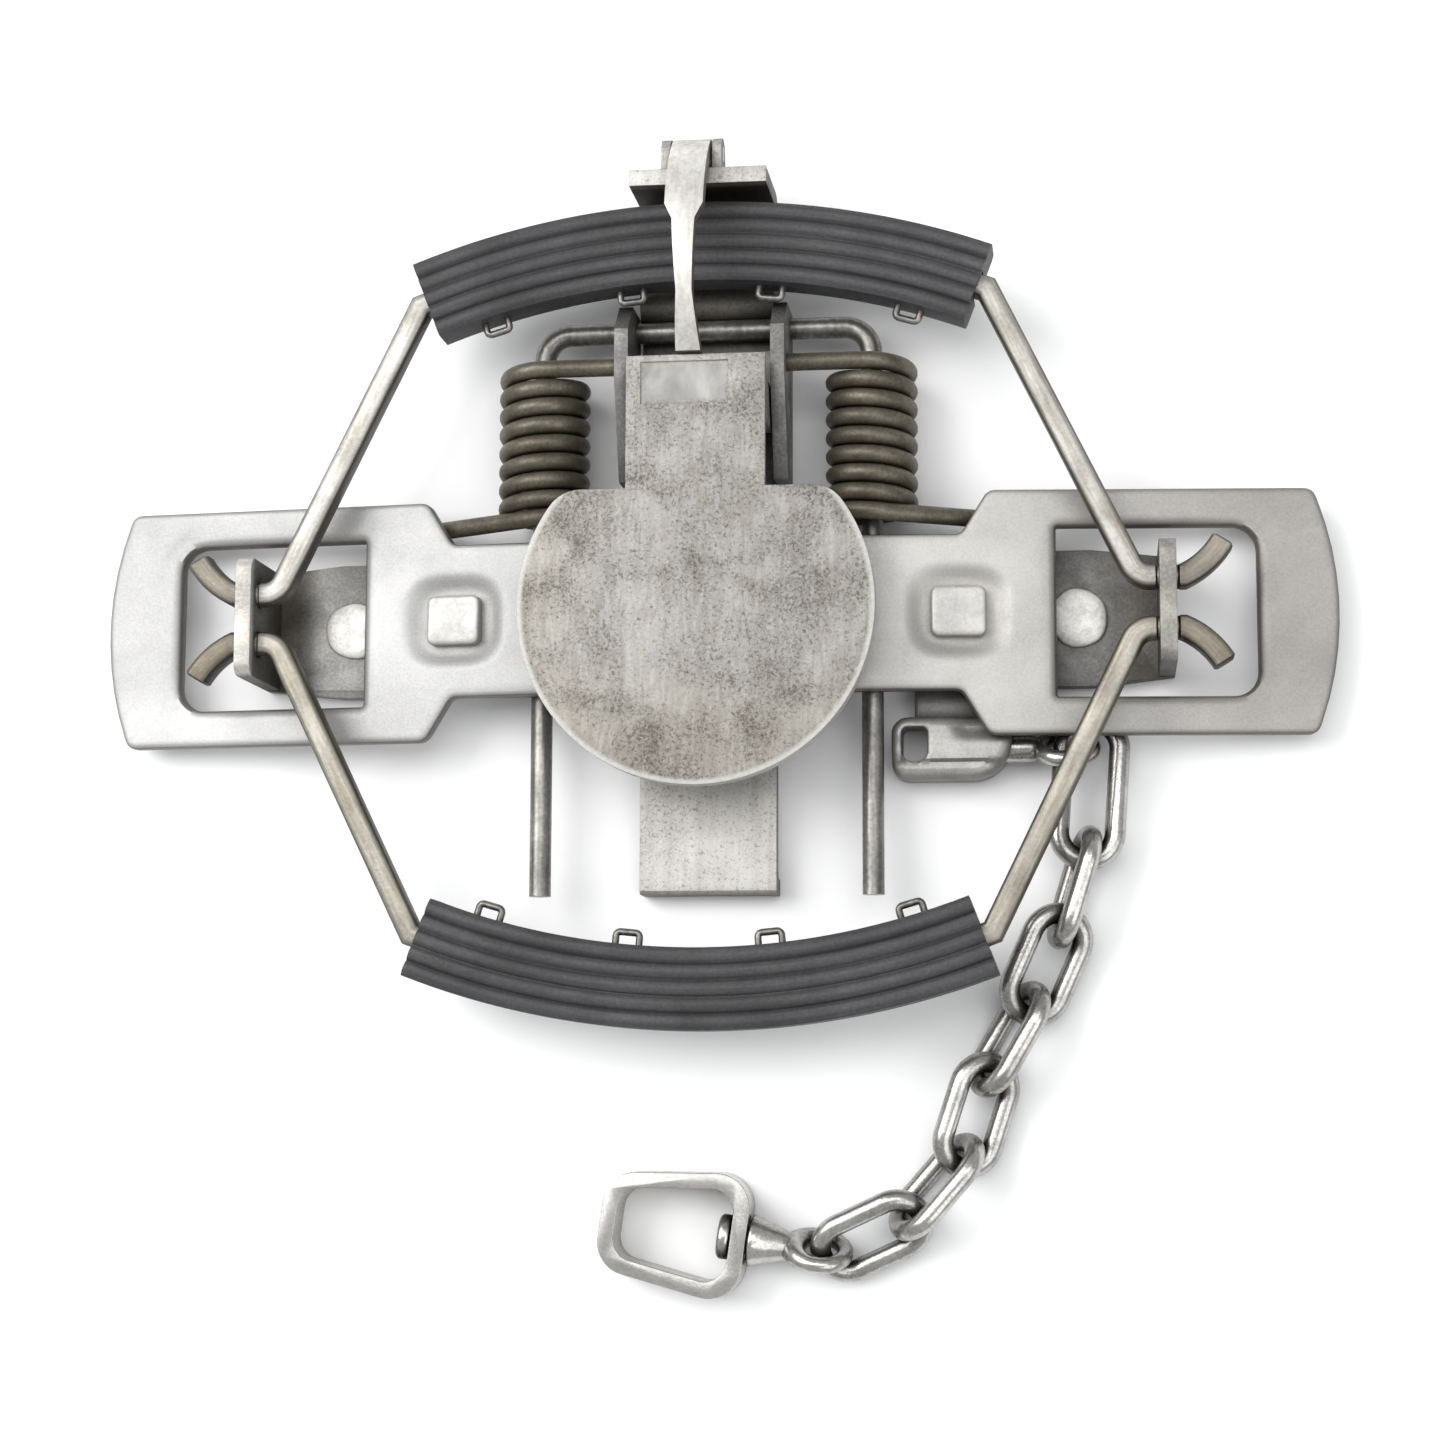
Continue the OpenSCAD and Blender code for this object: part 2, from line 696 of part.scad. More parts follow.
// Band ring: its stud wall ends at X = 0 and the ring runs towards -X, where it is far_w wide
module band_ring(l, w, far_w, wall, h, corner) {
    lean = (w - far_w) / 2 / l;
    near_in = w / 2 - wall * lean - wall * sqrt(1 + lean * lean);
    far_in = far_w / 2 + wall * lean - wall * sqrt(1 + lean * lean);
    difference() {
        linear_extrude(h, center = true) difference() {
            polygon(round_loop([[-l, -far_w / 2], [0, -w / 2], [0, w / 2], [-l, far_w / 2]], corner));
            polygon(round_loop([[wall - l, -far_in], [-wall, -near_in], [-wall, near_in], [wall - l, far_in]],
                corner - wall * 0.7));
        }
        along_x([0, 0, 0], stud_d + 2 * run, 3 * wall);
    }
}

// Headed stud along X through a ring's wall that ends at X = 0, with a ring eye at the given distance
module stud(wall, out, head_d, eye_roll) {
    translate([-wall - gap - stud_head_t, 0, 0]) rotate([0, 90, 0])
        cylinder(d = head_d, h = stud_head_t);
    translate([-wall - gap - 1, 0, 0]) rotate([0, 90, 0])
        cylinder(d = stud_d, h = wall + gap + 1 + out - eye_r);
    translate([out, 0, 0]) rotate([90 + eye_roll, 0, 0]) rotate_extrude()
        translate([eye_r, 0]) circle(d = eye_wire, $fn = 32);
}

module swivel_bracket() {
    color("#8b867e") {
        translate([base_ring_x + base_ring_l, swivel_y, swivel_z])
            band_ring(base_ring_l, base_ring_w, base_ring_w, band_wall, band_h, base_corner);
        web_y = swivel_y - (base_ring_w - band_wall) / 2;
        translate([base_ring_x + base_ring_l - band_wall / 2 - base_web_l, web_y,
            swivel_z + base_head_d / 2 + gap])
            cube([base_web_l, -lever_w / 2 - 2 * gap - web_y, base_web_t]);
        lug_x = base_ring_x + (base_ring_l - foot_lug_w) / 2;
        lug_y = swivel_y + base_ring_w / 2 - 1;
        translate([lug_x, lug_y, 0.6]) cube([foot_lug_w, -strip_w / 2 - lug_y, lug_h]);
    }
}

module base_swivel() {
    color("#8f8a83") translate([base_ring_x + base_ring_l, swivel_y, swivel_z])
        stud(band_wall, base_stud_out, base_head_d, base_eye_roll);
}

module chain_link(i) {
    a = joint(i);
    b = joint(i + 1);
    run_dir = b - a;
    straight = step(i) + link_gap + link_wire - link_w;
    color("#9b9791") translate((a + b) / 2)
        rotate([0, -asin(run_dir[2] / norm(run_dir)), headings[i]]) rotate([rolls[i], 0, 0])
            for (s = [-1, 1]) {
                translate([s * straight / 2, 0, 0]) rotate([0, 0, -s * 90])
                    rotate_extrude(angle = 180) translate([link_w / 2, 0]) circle(d = link_wire, $fn = 32);
                along_x([0, s * link_w / 2, 0], link_wire, straight, $fn = 32);
            }
}

module end_swivel() {
    color("#8f8a83") translate(end_eye) rotate([0, 0, end_heading + 180])
        translate([-end_stud_out, 0, 0]) {
            stud(end_band_wall, end_stud_out, end_head_d, end_eye_roll);
            translate([gap, 0, 0]) rotate([0, 90, 0])
                cylinder(d1 = end_collar_d, d2 = stud_d + 1, h = end_stud_out - eye_r - eye_wire / 3 - gap);
        }
}

module end_ring() {
    color("#a09b93") translate(end_eye) rotate([0, 0, end_heading + 180])
        translate([-end_stud_out, 0, 0])
            band_ring(end_ring_l, end_ring_w, end_far_w, end_band_wall, end_band_h, end_corner);
}

base_strip();
cross_frame();
centre_rivet();
base_rivets();
pan_bracket();
bracket_rivets();
spring_rod();
pan_pin();
dog_pin();
swivel_bracket();
left_coil_spring();
right_coil_spring();
left_lever();
right_lever();
left_knuckle();
right_knuckle();
left_lever_rivet();
right_lever_rivet();
upper_jaw();
lower_jaw();
upper_pad();
lower_pad();
upper_pad_clips();
lower_pad_clips();
dog();
pan();
base_swivel();
chain_link(0);  // chain_link_1
chain_link(1);  // chain_link_2
chain_link(2);  // chain_link_3
chain_link(3);  // chain_link_4
chain_link(4);  // chain_link_5
chain_link(5);  // chain_link_6
chain_link(6);  // chain_link_7
end_swivel();
end_ring();
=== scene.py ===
import json
import math

import bmesh
import bpy
from mathutils import Matrix, Vector
from mathutils.geometry import delaunay_2d_cdt

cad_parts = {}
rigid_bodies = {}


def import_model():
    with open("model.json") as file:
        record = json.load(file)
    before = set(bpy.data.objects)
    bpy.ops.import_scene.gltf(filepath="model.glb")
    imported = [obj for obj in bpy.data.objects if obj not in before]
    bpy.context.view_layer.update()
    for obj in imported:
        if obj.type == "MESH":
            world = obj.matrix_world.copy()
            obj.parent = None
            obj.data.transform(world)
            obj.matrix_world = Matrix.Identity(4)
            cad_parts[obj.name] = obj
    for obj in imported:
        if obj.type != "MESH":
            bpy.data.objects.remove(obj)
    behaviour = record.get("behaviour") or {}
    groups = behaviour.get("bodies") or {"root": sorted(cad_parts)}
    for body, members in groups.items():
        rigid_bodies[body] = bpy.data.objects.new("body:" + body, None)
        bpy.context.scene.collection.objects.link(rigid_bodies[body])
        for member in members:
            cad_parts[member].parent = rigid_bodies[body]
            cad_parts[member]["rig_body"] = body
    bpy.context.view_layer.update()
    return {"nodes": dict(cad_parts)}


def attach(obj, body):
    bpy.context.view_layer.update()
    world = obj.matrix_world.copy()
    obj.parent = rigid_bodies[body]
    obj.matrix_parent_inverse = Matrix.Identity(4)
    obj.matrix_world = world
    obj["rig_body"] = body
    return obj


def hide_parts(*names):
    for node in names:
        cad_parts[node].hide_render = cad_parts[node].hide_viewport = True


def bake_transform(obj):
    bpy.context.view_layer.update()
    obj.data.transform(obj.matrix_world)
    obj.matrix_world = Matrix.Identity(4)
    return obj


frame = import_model()
MM = 0.001

# Sizes of the trap that the pieces below repeat, in millimetres and degrees
ROD_X, ROD_Z = 30.7, 9.0
COIL_R, COIL_Y, COIL_PITCH, COIL_TURNS = 6.9, 46.5, 3.5, 8
COIL_WIRE, LEG_TURN, LEG_REACH, LEG_IN = 3.3, 27.0, 24.0, 13.4
PAD_R, PAD_Y, PAD_HALF, PAD_W, PAD_H, PAD_FACE = 142.6, 68.4, 51.0, 14.8, 8.8, 22.3
ARC_Y = PAD_Y - PAD_R
LEVER_H, LEVER_T, LEVER_W, NECK_W, LEVER_SLOPE = 2.8, 3.0, 45.0, 28.6, 5.0
NECK_END, SHOULDER_IN, SHOULDER_OUT = 26.0, 46.7, 51.7
LEVER_TIP, LEVER_END_R = 114.8, 60.0
WINDOW_IN, WINDOW_OUT, WINDOW_W = 64.0, 100.2, 31.0
DISH_X, DISH_DEPTH = 46.2, 1.25
POST_IN, POST_OUT, JAW_Y, JAW_Z = 82.2, 85.8, 4.6, 18.0
BAR_W, BAR_H, PIVOT_D = 4.2, 5.0, 4.6
BASE_RIVET_X, BASE_RIVET_R, BASE_RIVET_H, STRIP_T = 68.1, 5.5, 1.3, 3.0


# Material nodes

WHITE = (1.0, 1.0, 1.0)
TONE_STOPS = (0.36, 0.5, 0.64)        # where a grey's dark, middle and light tones lie on the noise
WARM_GREEN, WARM_BLUE = 0.028, 0.075  # how far a warm grey's green and blue stay behind its red
BLOTCH_SHARE = 0.62                   # the rest of the mottle is grain
GRAIN_HEIGHT, STREAK_HEIGHT = 0.4, 0.5
# The second pair of stops, and the samples below, are for the painted shade in recesses, from ambient
# occlusion
STREAK_STOPS, RECESS_SHADE_STOPS = (0.36, 0.6), (0.25, 0.85)
RECESS_SHADE_SAMPLES = 6
# Painted highlight on a rim: how sharply it grows outside its radius (per metre), its greatest share, the
# stops of its dull and light tones, and how much duller the dull tone is
RIM_SHARPNESS, RIM_COVER, RIM_STOPS, RIM_DULL = 1200.0, 0.85, (0.3, 0.6), 0.85
PATCH_SCALE, PATCH_STRETCH = 150, (1.0, 0.55, 1.0)


def link(nt, a, b):
    nt.links.new(a, b)


def noise(nt, coord, scale, detail=4.0, rough=0.55, stretch=None, distortion=0.0):
    """Noise at the scale, with its coordinates multiplied by stretch first."""
    if stretch is not None:
        place = nt.nodes.new("ShaderNodeMapping")
        place.inputs["Scale"].default_value = stretch
        link(nt, coord, place.inputs["Vector"])
        coord = place.outputs["Vector"]
    n = nt.nodes.new("ShaderNodeTexNoise")
    n.inputs["Scale"].default_value = scale
    n.inputs["Detail"].default_value = detail
    n.inputs["Roughness"].default_value = rough
    n.inputs["Distortion"].default_value = distortion
    link(nt, coord, n.inputs["Vector"])
    return n.outputs["Fac"]


def math_node(nt, op, a, b):
    n = nt.nodes.new("ShaderNodeMath")
    n.operation = op
    for i, v in enumerate((a, b)):
        if isinstance(v, (int, float)):
            n.inputs[i].default_value = v
        else:
            link(nt, v, n.inputs[i])
    return n.outputs[0]


def weighted(nt, a, b, share):
    """A share of a, and the rest of b."""
    return math_node(nt, "ADD", math_node(nt, "MULTIPLY", a, share), math_node(nt, "MULTIPLY", b, 1 - share))


def ramp(nt, fac, stops):
    n = nt.nodes.new("ShaderNodeValToRGB")
    e = n.color_ramp.elements
    while len(e) < len(stops):
        e.new(0.5)
    for el, (pos, col) in zip(e, stops):
        el.position = pos
        el.color = (*col, 1.0)
    link(nt, fac, n.inputs["Fac"])
    return n.outputs["Color"]


def spread(nt, fac, lo, hi, first=0.3, last=0.7):
    """fac's stretch from first to last, spread over lo to hi."""
    n = nt.nodes.new("ShaderNodeMapRange")
    n.inputs["From Min"].default_value = first
    n.inputs["From Max"].default_value = last
    n.inputs["To Min"].default_value = lo
    n.inputs["To Max"].default_value = hi
    link(nt, fac, n.inputs["Value"])
    return n.outputs["Result"]


def mixed(nt, blend, a, b, fac):
    """Colour a blended with b, a colour or an output, by a factor, a number or an output."""
    n = nt.nodes.new("ShaderNodeMix")
    n.data_type = "RGBA"
    n.blend_type = blend
    link(nt, a, n.inputs["A"])
    if isinstance(b, tuple):
        n.inputs["B"].default_value = (*b, 1.0)
    else:
        link(nt, b, n.inputs["B"])
    if isinstance(fac, float):
        n.inputs["Factor"].default_value = fac
    else:
        link(nt, fac, n.inputs["Factor"])
    return n.outputs["Result"]


def shaded(nt, colour, fac, stops, dark):
    """Colour multiplied by dark where fac is below the first stop, and left as it is above the last."""
    return mixed(nt, "MULTIPLY", colour, ramp(nt, fac, [(stops[0], dark), (stops[1], WHITE)]), 1.0)


def split(nt, vector):
    n = nt.nodes.new("ShaderNodeSeparateXYZ")
    link(nt, vector, n.inputs["Vector"])
    return n


def place_mask(nt, axes, ranges):
    """Mask that grows from 0 to 1 between the two ends of each (axis, start, end), in millimetres."""
    mask = None
    for axis, start, end in ranges:
        part = spread(nt, axes.outputs[axis], 0.0, 1.0, start * MM, end * MM)
        mask = part if mask is None else math_node(nt, "MULTIPLY", mask, part)
    return mask


def rim_mask(nt, axes, radius, last_y):
    """Mask of what lies further than radius from the Z axis, as far as last_y, in millimetres."""
    flat = nt.nodes.new("ShaderNodeCombineXYZ")
    link(nt, axes.outputs["X"], flat.inputs["X"])
    link(nt, axes.outputs["Y"], flat.inputs["Y"])
    size = nt.nodes.new("ShaderNodeVectorMath")
    size.operation = "LENGTH"
    link(nt, flat.outputs["Vector"], size.inputs[0])
    out = math_node(nt, "SUBTRACT", size.outputs["Value"], radius * MM)
    out = math_node(nt, "MAXIMUM", math_node(nt, "MULTIPLY", out, RIM_SHARPNESS), 0.0)
    low = math_node(nt, "LESS_THAN", axes.outputs["Y"], last_y * MM)
    return math_node(nt, "MINIMUM", math_node(nt, "MULTIPLY", out, low), RIM_COVER)


def openness(nt, reach_mm):
    """Low in recesses that are narrower than the reach."""
    n = nt.nodes.new("ShaderNodeAmbientOcclusion")
    n.samples = RECESS_SHADE_SAMPLES
    n.inputs["Distance"].default_value = reach_mm * MM
    return n.outputs["AO"]


def tones(low, mid, high, warm=1.0):
    """Colour stops of a slightly warm grey."""
    return [(pos, (v, v * (1 - WARM_GREEN * warm), v * (1 - WARM_BLUE * warm)))
            for pos, v in zip(TONE_STOPS, (low, mid, high))]


def surface(name, stops, metallic, rough, blotch, grain, bump, spots=None, streaks=None, recess_shade=None,
            sides=None, tints=(), rim=None, patch=None, along=False):
    """Worn surface: a mottle of blotches and fine grain, with optional extras that tint it, among them
    painted shade and painted light.

    Lengths are in millimetres. stops: colour stops of the mottle.
    rough: roughness where it is low and where it is high. blotch, grain: scales of the two noises.
    bump: strength and depth. spots: scale, first and last stop, share of the blotches, colour.
    streaks: stretch, scale, bend, colour. recess_shade: reach and colour of painted shade in recesses.
    sides: painted shade on faces that stand upright on the piece (painted light where its colour is above 1):
    first and last upward part of the normal, and the colour of those faces.
    tints: places as in place_mask, and the colour they are multiplied by; several of them are painted shade
    and painted light.
    rim: painted highlight on a ring: radius about Z, last Y, colour of the ring outside it. patch: a smoother
    place, and its stops.
    along: the streaks follow the piece's length, which its UV map holds in metres.
    """
    m = bpy.data.materials.new(name)
    m.use_nodes = True
    nt = m.node_tree
    bsdf = nt.nodes["Principled BSDF"]
    place = nt.nodes.new("ShaderNodeTexCoord")
    coord = place.outputs["Object"]
    axes = split(nt, coord)
    big = noise(nt, coord, blotch, detail=5.0, distortion=0.3)
    fine = noise(nt, coord, grain, detail=2.0, rough=0.6)
    mottle = weighted(nt, big, fine, BLOTCH_SHARE)
    colour = ramp(nt, mottle, stops)
    height = fine
    if spots:
        scale, first, last, share, dark = spots
        speck = noise(nt, coord, scale, detail=2.0, rough=0.6, distortion=0.8)
        speck = weighted(nt, big, speck, share)
        colour = shaded(nt, colour, speck, (first, last), dark)
        height = weighted(nt, fine, speck, GRAIN_HEIGHT)
    if streaks:
        stretch, scale, bend, dark = streaks
        lines = noise(nt, place.outputs["UV"] if along else coord, scale, 3.0, 0.6, stretch, bend)
        colour = shaded(nt, colour, lines, STREAK_STOPS, dark)
        height = math_node(nt, "ADD", height, math_node(nt, "MULTIPLY", lines, STREAK_HEIGHT))
    # Painted shade in recesses, from ambient occlusion
    if recess_shade:
        colour = shaded(nt, colour, openness(nt, recess_shade[0]), RECESS_SHADE_STOPS, recess_shade[1])
    # Painted shade on faces that stand upright, darker than the top as if lit from above; a colour above 1
    # paints light there instead
    if sides:
        first, last, dark = sides
        upward = math_node(nt, "ABSOLUTE", split(nt, place.outputs["Normal"]).outputs["Z"], 0.0)
        colour = shaded(nt, colour, upward, (first, last), dark)
    # Place tints; several are painted shade and painted light on parts of a piece
    for ranges, tint in tints:
        colour = mixed(nt, "MULTIPLY", colour, tint, place_mask(nt, axes, ranges))
    # Painted highlight on a rim
    if rim:
        radius, last_y, light = rim
        dull = tuple(RIM_DULL * c for c in light)
        edge = ramp(nt, fine, [(RIM_STOPS[0], dull), (RIM_STOPS[1], light)])
        colour = mixed(nt, "MIX", colour, edge, rim_mask(nt, axes, radius, last_y))
    if patch:
        ranges, patch_stops = patch
        soft = noise(nt, coord, PATCH_SCALE, detail=3.0, rough=0.6, stretch=PATCH_STRETCH, distortion=0.3)
        colour = mixed(nt, "MIX", colour, ramp(nt, soft, patch_stops), place_mask(nt, axes, ranges))
    link(nt, colour, bsdf.inputs["Base Color"])
    link(nt, spread(nt, mottle, *rough), bsdf.inputs["Roughness"])
    bsdf.inputs["Metallic"].default_value = metallic
    b = nt.nodes.new("ShaderNodeBump")
    b.inputs["Strength"].default_value = bump[0]
    b.inputs["Distance"].default_value = bump[1] * MM
    link(nt, height, b.inputs["Height"])
    link(nt, b.outputs["Normal"], bsdf.inputs["Normal"])
    return m


# Materials: places in millimetres, then the surfaces

# LEFT_HALF: painted light on the left base rivet. RIGHT_LEVER_END: painted shade on the right lever's outer
# end
LEFT_HALF, RIGHT_LEVER_END = [("X", 10, -10)], [("X", 40, 100)]
# DOG_POST: painted shade on the cross frame's post by the dog, below its top edge
DOG_POST = [("Y", 35, 55), ("Z", 22.2, 21.0)]
# Post feet: painted shade where the base strip bends up into its posts
LEFT_POST_FOOT, RIGHT_POST_FOOT = [("X", -75.5, -79), ("Z", 18, 8)], [("X", 71, 79), ("Z", 18, 8)]
# Post tops: painted highlight on the top edges of the posts
LEFT_POST_TOP, RIGHT_POST_TOP = [("X", -50, -60), ("Z", 21, 22.8)], [("X", 50, 60), ("Z", 21, 22.8)]
# Painted highlight on the base strip about the left rivet
ROUND_LEFT_RIVET = [("X", -77.5, -73.5), ("X", -45, -55)]
PAN_LEFT, PAN_LOW = [("X", -18, -31)], [("Y", -10, -22)]
STEM_TOP = [("X", -10.2, -8.8), ("X", 6.2, 4.6), ("Y", 36.8, 38.2), ("Y", 45.2, 44.0)]
# UPPER_RIGHT_ARM: painted shade on the upper jaw's right arm
LOWER_JAW, UPPER_RIGHT_ARM = [("Y", 3, -3)], [("X", 0, 20), ("Y", -3, 3)]
LEFT_TAILS, RIGHT_TAILS = [("X", -84, -86.5)], [("X", 84, 86.5)]

# Colours of painted shade, on upright faces and in recesses
ZINC_SHADE, STEEL_SHADE, DEEP_SHADE = (0.34, 0.32, 0.29), (0.30, 0.28, 0.25), (0.12, 0.11, 0.10)
# The levers' finish, with painted shade on their upright edges and in recesses
LEVER_FINISH_AND_SHADE = dict(metallic=0.3, rough=(0.55, 0.42), blotch=45, grain=2200, bump=(0.12, 0.2),
                    recess_shade=(8, ZINC_SHADE), sides=(0.55, 0.985, ZINC_SHADE))

# Both levers are one zinc in two copies that differ by painted light: the left one a little darker and
# cooler, the right one with painted shade towards its outer end
ZINC = surface("zinc_left", tones(0.335, 0.39, 0.445, 0.35), **LEVER_FINISH_AND_SHADE)
ZINC_RIGHT = surface("zinc_right", tones(0.345, 0.41, 0.47), tints=[(RIGHT_LEVER_END, (0.72, 0.71, 0.70))],
                     **LEVER_FINISH_AND_SHADE)
# Cross frame: painted shade on upright faces, in recesses and on the post by the dog
FOOT_ZINC = surface(
    "zinc_frame", tones(0.36, 0.45, 0.52), metallic=0.35, rough=(0.55, 0.42), blotch=60, grain=2000,
    bump=(0.15, 0.3), spots=(1500, 0.36, 0.46, 0.15, (0.62, 0.60, 0.56)),
    streaks=((1.0, 0.1, 1.0), 500, 0.0, (0.85, 0.84, 0.82)),
    recess_shade=(8, STEEL_SHADE), sides=(0.35, 0.95, STEEL_SHADE), tints=[(DOG_POST, (0.28, 0.265, 0.245))])
# Base strip: painted shade in recesses and at the feet of its posts, painted highlight about the left rivet
# and on the posts' top edges
STRIP_STEEL = surface(
    "strip_steel", tones(0.10, 0.145, 0.205), metallic=0.5, rough=(0.6, 0.45), blotch=130, grain=1700,
    bump=(0.2, 0.3), recess_shade=(10, (0.25, 0.23, 0.20)),
    tints=[(RIGHT_POST_FOOT, (0.55, 0.52, 0.48)), (LEFT_POST_FOOT, (0.45, 0.41, 0.35)),
           (ROUND_LEFT_RIVET, (2.3, 2.3, 2.3)), (RIGHT_POST_TOP, (1.7, 1.66, 1.6)),
           (LEFT_POST_TOP, (2.8, 2.75, 2.65))])
# Pan bracket: painted shade in recesses
BRACKET_STEEL = surface(
    "bracket_steel", tones(0.11, 0.17, 0.27), metallic=0.55, rough=(0.55, 0.4), blotch=120, grain=1700,
    bump=(0.2, 0.3), recess_shade=(10, DEEP_SHADE))
# Swivel cup: painted shade in recesses and on upright faces
SWIVEL_STEEL = surface(
    "swivel_steel", tones(0.25, 0.31, 0.38), metallic=0.45, rough=(0.5, 0.38), blotch=90, grain=1700,
    bump=(0.15, 0.3), recess_shade=(8, DEEP_SHADE), sides=(0.3, 0.9, (0.55, 0.53, 0.50)))
# Pan: painted highlight on its rim
PAN_METAL = surface(
    "pan_metal", tones(0.225, 0.305, 0.375, 1.15), metallic=0.25, rough=(0.62, 0.48), blotch=75, grain=1700,
    bump=(0.3, 0.3), spots=(1750, 0.385, 0.495, 0.36, (0.45, 0.41, 0.34)),
    streaks=((1.0, 0.16, 1.0), 420, 1.8, (0.80, 0.78, 0.74)),
    tints=[(PAN_LEFT, (0.95, 0.925, 0.87)), (PAN_LOW, (0.95, 0.925, 0.88))],
    rim=(31.2, 21.2, (0.50, 0.49, 0.465)), patch=(STEM_TOP, tones(0.21, 0.29, 0.38)))
# Jaws: painted shade on upright faces and on the upper jaw's right arm
JAW_STEEL = surface(
    "jaw_steel", tones(0.38, 0.475, 0.57), metallic=0.4, rough=(0.5, 0.36), blotch=110, grain=1500,
    bump=(0.2, 0.3), streaks=((0.05, 1.0, 1.0), 1400, 0.0, (0.68, 0.65, 0.58)),
    sides=(0.55, 0.98, (0.17, 0.155, 0.13)),
    tints=[(LOWER_JAW, (0.72, 0.695, 0.63)), (UPPER_RIGHT_ARM, (0.85, 0.84, 0.82)),
           (RIGHT_TAILS, (0.60, 0.57, 0.52)), (LEFT_TAILS, (0.42, 0.39, 0.34))], along=True)
# Dog: painted shade on upright faces
DOG_STEEL = surface(
    "dog_steel", tones(0.56, 0.67, 0.75), metallic=0.4, rough=(0.5, 0.36), blotch=110, grain=1500,
    bump=(0.15, 0.3), streaks=((1.0, 0.08, 1.0), 900, 0.0, (0.82, 0.80, 0.77)),
    sides=(0.2, 0.7, (0.22, 0.205, 0.185)))
# Rods and pins: painted shade in recesses
ROD_STEEL = surface(
    "rod_steel", tones(0.15, 0.23, 0.33), metallic=0.75, rough=(0.42, 0.3), blotch=120, grain=1300,
    bump=(0.15, 0.2), streaks=((1.0, 0.06, 1.0), 900, 0.0, (0.7, 0.68, 0.63)), recess_shade=(6, STEEL_SHADE))
# Coil springs: painted shade in the gaps between turns
SPRING_STEEL = surface(
    "spring_steel",
    [(0.34, (0.062, 0.054, 0.039)), (0.5, (0.104, 0.092, 0.067)), (0.66, (0.16, 0.145, 0.111))],
    metallic=0.55, rough=(0.55, 0.40), blotch=160, grain=1700, bump=(0.15, 0.2), recess_shade=(2, (0.5, 0.47, 0.40)))
# Chain: painted shade in recesses
CHAIN_STEEL = surface(
    "chain_steel", tones(0.26, 0.40, 0.54), metallic=0.88, rough=(0.32, 0.2), blotch=150, grain=1500,
    bump=(0.15, 0.2), recess_shade=(10, (0.05, 0.046, 0.042)))
# End ring: painted shade in recesses and painted light on upright faces
RING_STEEL = surface(
    "ring_steel", tones(0.28, 0.37, 0.47), metallic=0.65, rough=(0.32, 0.2), blotch=130, grain=1700,
    bump=(0.1, 0.2), recess_shade=(10, (0.35, 0.33, 0.31)), sides=(0.1, 0.8, (1.2, 1.18, 1.15)))
# Lever rivets: painted shade on upright faces
RIVET_STEEL = surface(
    "rivet_steel", tones(0.36, 0.43, 0.50), metallic=0.3, rough=(0.5, 0.36), blotch=170, grain=1600,
    bump=(0.2, 0.3), sides=(0.3, 0.9, (0.66, 0.64, 0.61)))
# Base rivets: painted light on the left one
BRIGHT_RIVET = surface(
    "bright_rivet", tones(0.56, 0.72, 0.86), metallic=0.15, rough=(0.5, 0.38), blotch=420, grain=1600,
    bump=(0.25, 0.4), tints=[(LEFT_HALF, (1.3, 1.3, 1.3))])
# Rubber pads: painted shade in the grooves and recesses
RUBBER = surface(
    "rubber", [(0.34, (0.029, 0.027, 0.029)), (0.5, (0.042, 0.0395, 0.042)), (0.66, (0.061, 0.058, 0.061))],
    metallic=0.0, rough=(0.7, 0.52), blotch=60, grain=1500, bump=(0.25, 0.3),
    streaks=((0.02, 1.0, 1.0), 1300, 0.0, (0.72, 0.71, 0.70)), recess_shade=(2.2, (0.30, 0.29, 0.28)), along=True)


# Mesh helpers

WELD, CAD_WELD = 0.0005, 0.002  # points closer than this become one
FLAT_ANGLE = 1.0                # faces of a CAD mesh that bend less than this become one
BAR_END, BAR_MITRE = 0.35, 0.5  # rounding of a bar's ends, and the sharpest mitre at its bends
# Rounded edges of the CAD copies: segments, and the bends from which an edge is rounded or is shaded sharp
EDGE_SEGMENTS, EDGE_ANGLE, EDGE_SMOOTH = 3, 30.0, 32.0


class Form:
    """Vertices in millimetres, faces, and a UV pair in millimetres for each corner of each face."""

    def __init__(self):
        self.verts, self.faces, self.uvs = [], [], []

    def add(self, verts, faces, uvs=None):
        base = len(self.verts)
        self.verts += [Vector(v) for v in verts]
        self.faces += [tuple(base + i for i in f) for f in faces]
        self.uvs += uvs or [[(0.0, 0.0)] * len(f) for f in faces]


def shade(o, angle):
    """Smooth shading, with edges kept sharp that bend more than the angle."""
    bm = bmesh.new()
    bm.from_mesh(o.data)
    for f in bm.faces:
        f.smooth = True
    for e in bm.edges:
        e.smooth = not (e.is_manifold and e.calc_face_angle(0.0) > math.radians(angle))
    bm.to_mesh(o.data)
    bm.free()


def new_piece(name, form, material, body, smooth=40.0):
    """Object made from a form, riding on a body unless that is None."""
    me = bpy.data.meshes.new(name)
    bm = bmesh.new()
    uv = bm.loops.layers.uv.new("length")
    vs = [bm.verts.new(v * MM) for v in form.verts]
    for corners, pairs in zip(form.faces, form.uvs):
        face = bm.faces.new([vs[i] for i in corners])
        for loop, (a, b) in zip(face.loops, pairs):
            loop[uv].uv = (a * MM, b * MM)
    bmesh.ops.remove_doubles(bm, verts=bm.verts, dist=WELD * MM)
    bmesh.ops.recalc_face_normals(bm, faces=bm.faces)
    bm.to_mesh(me)
    bm.free()
    o = bpy.data.objects.new(name, me)
    bpy.context.scene.collection.objects.link(o)
    shade(o, smooth)
    me.materials.append(material)
    if body:
        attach(o, body)
    return o


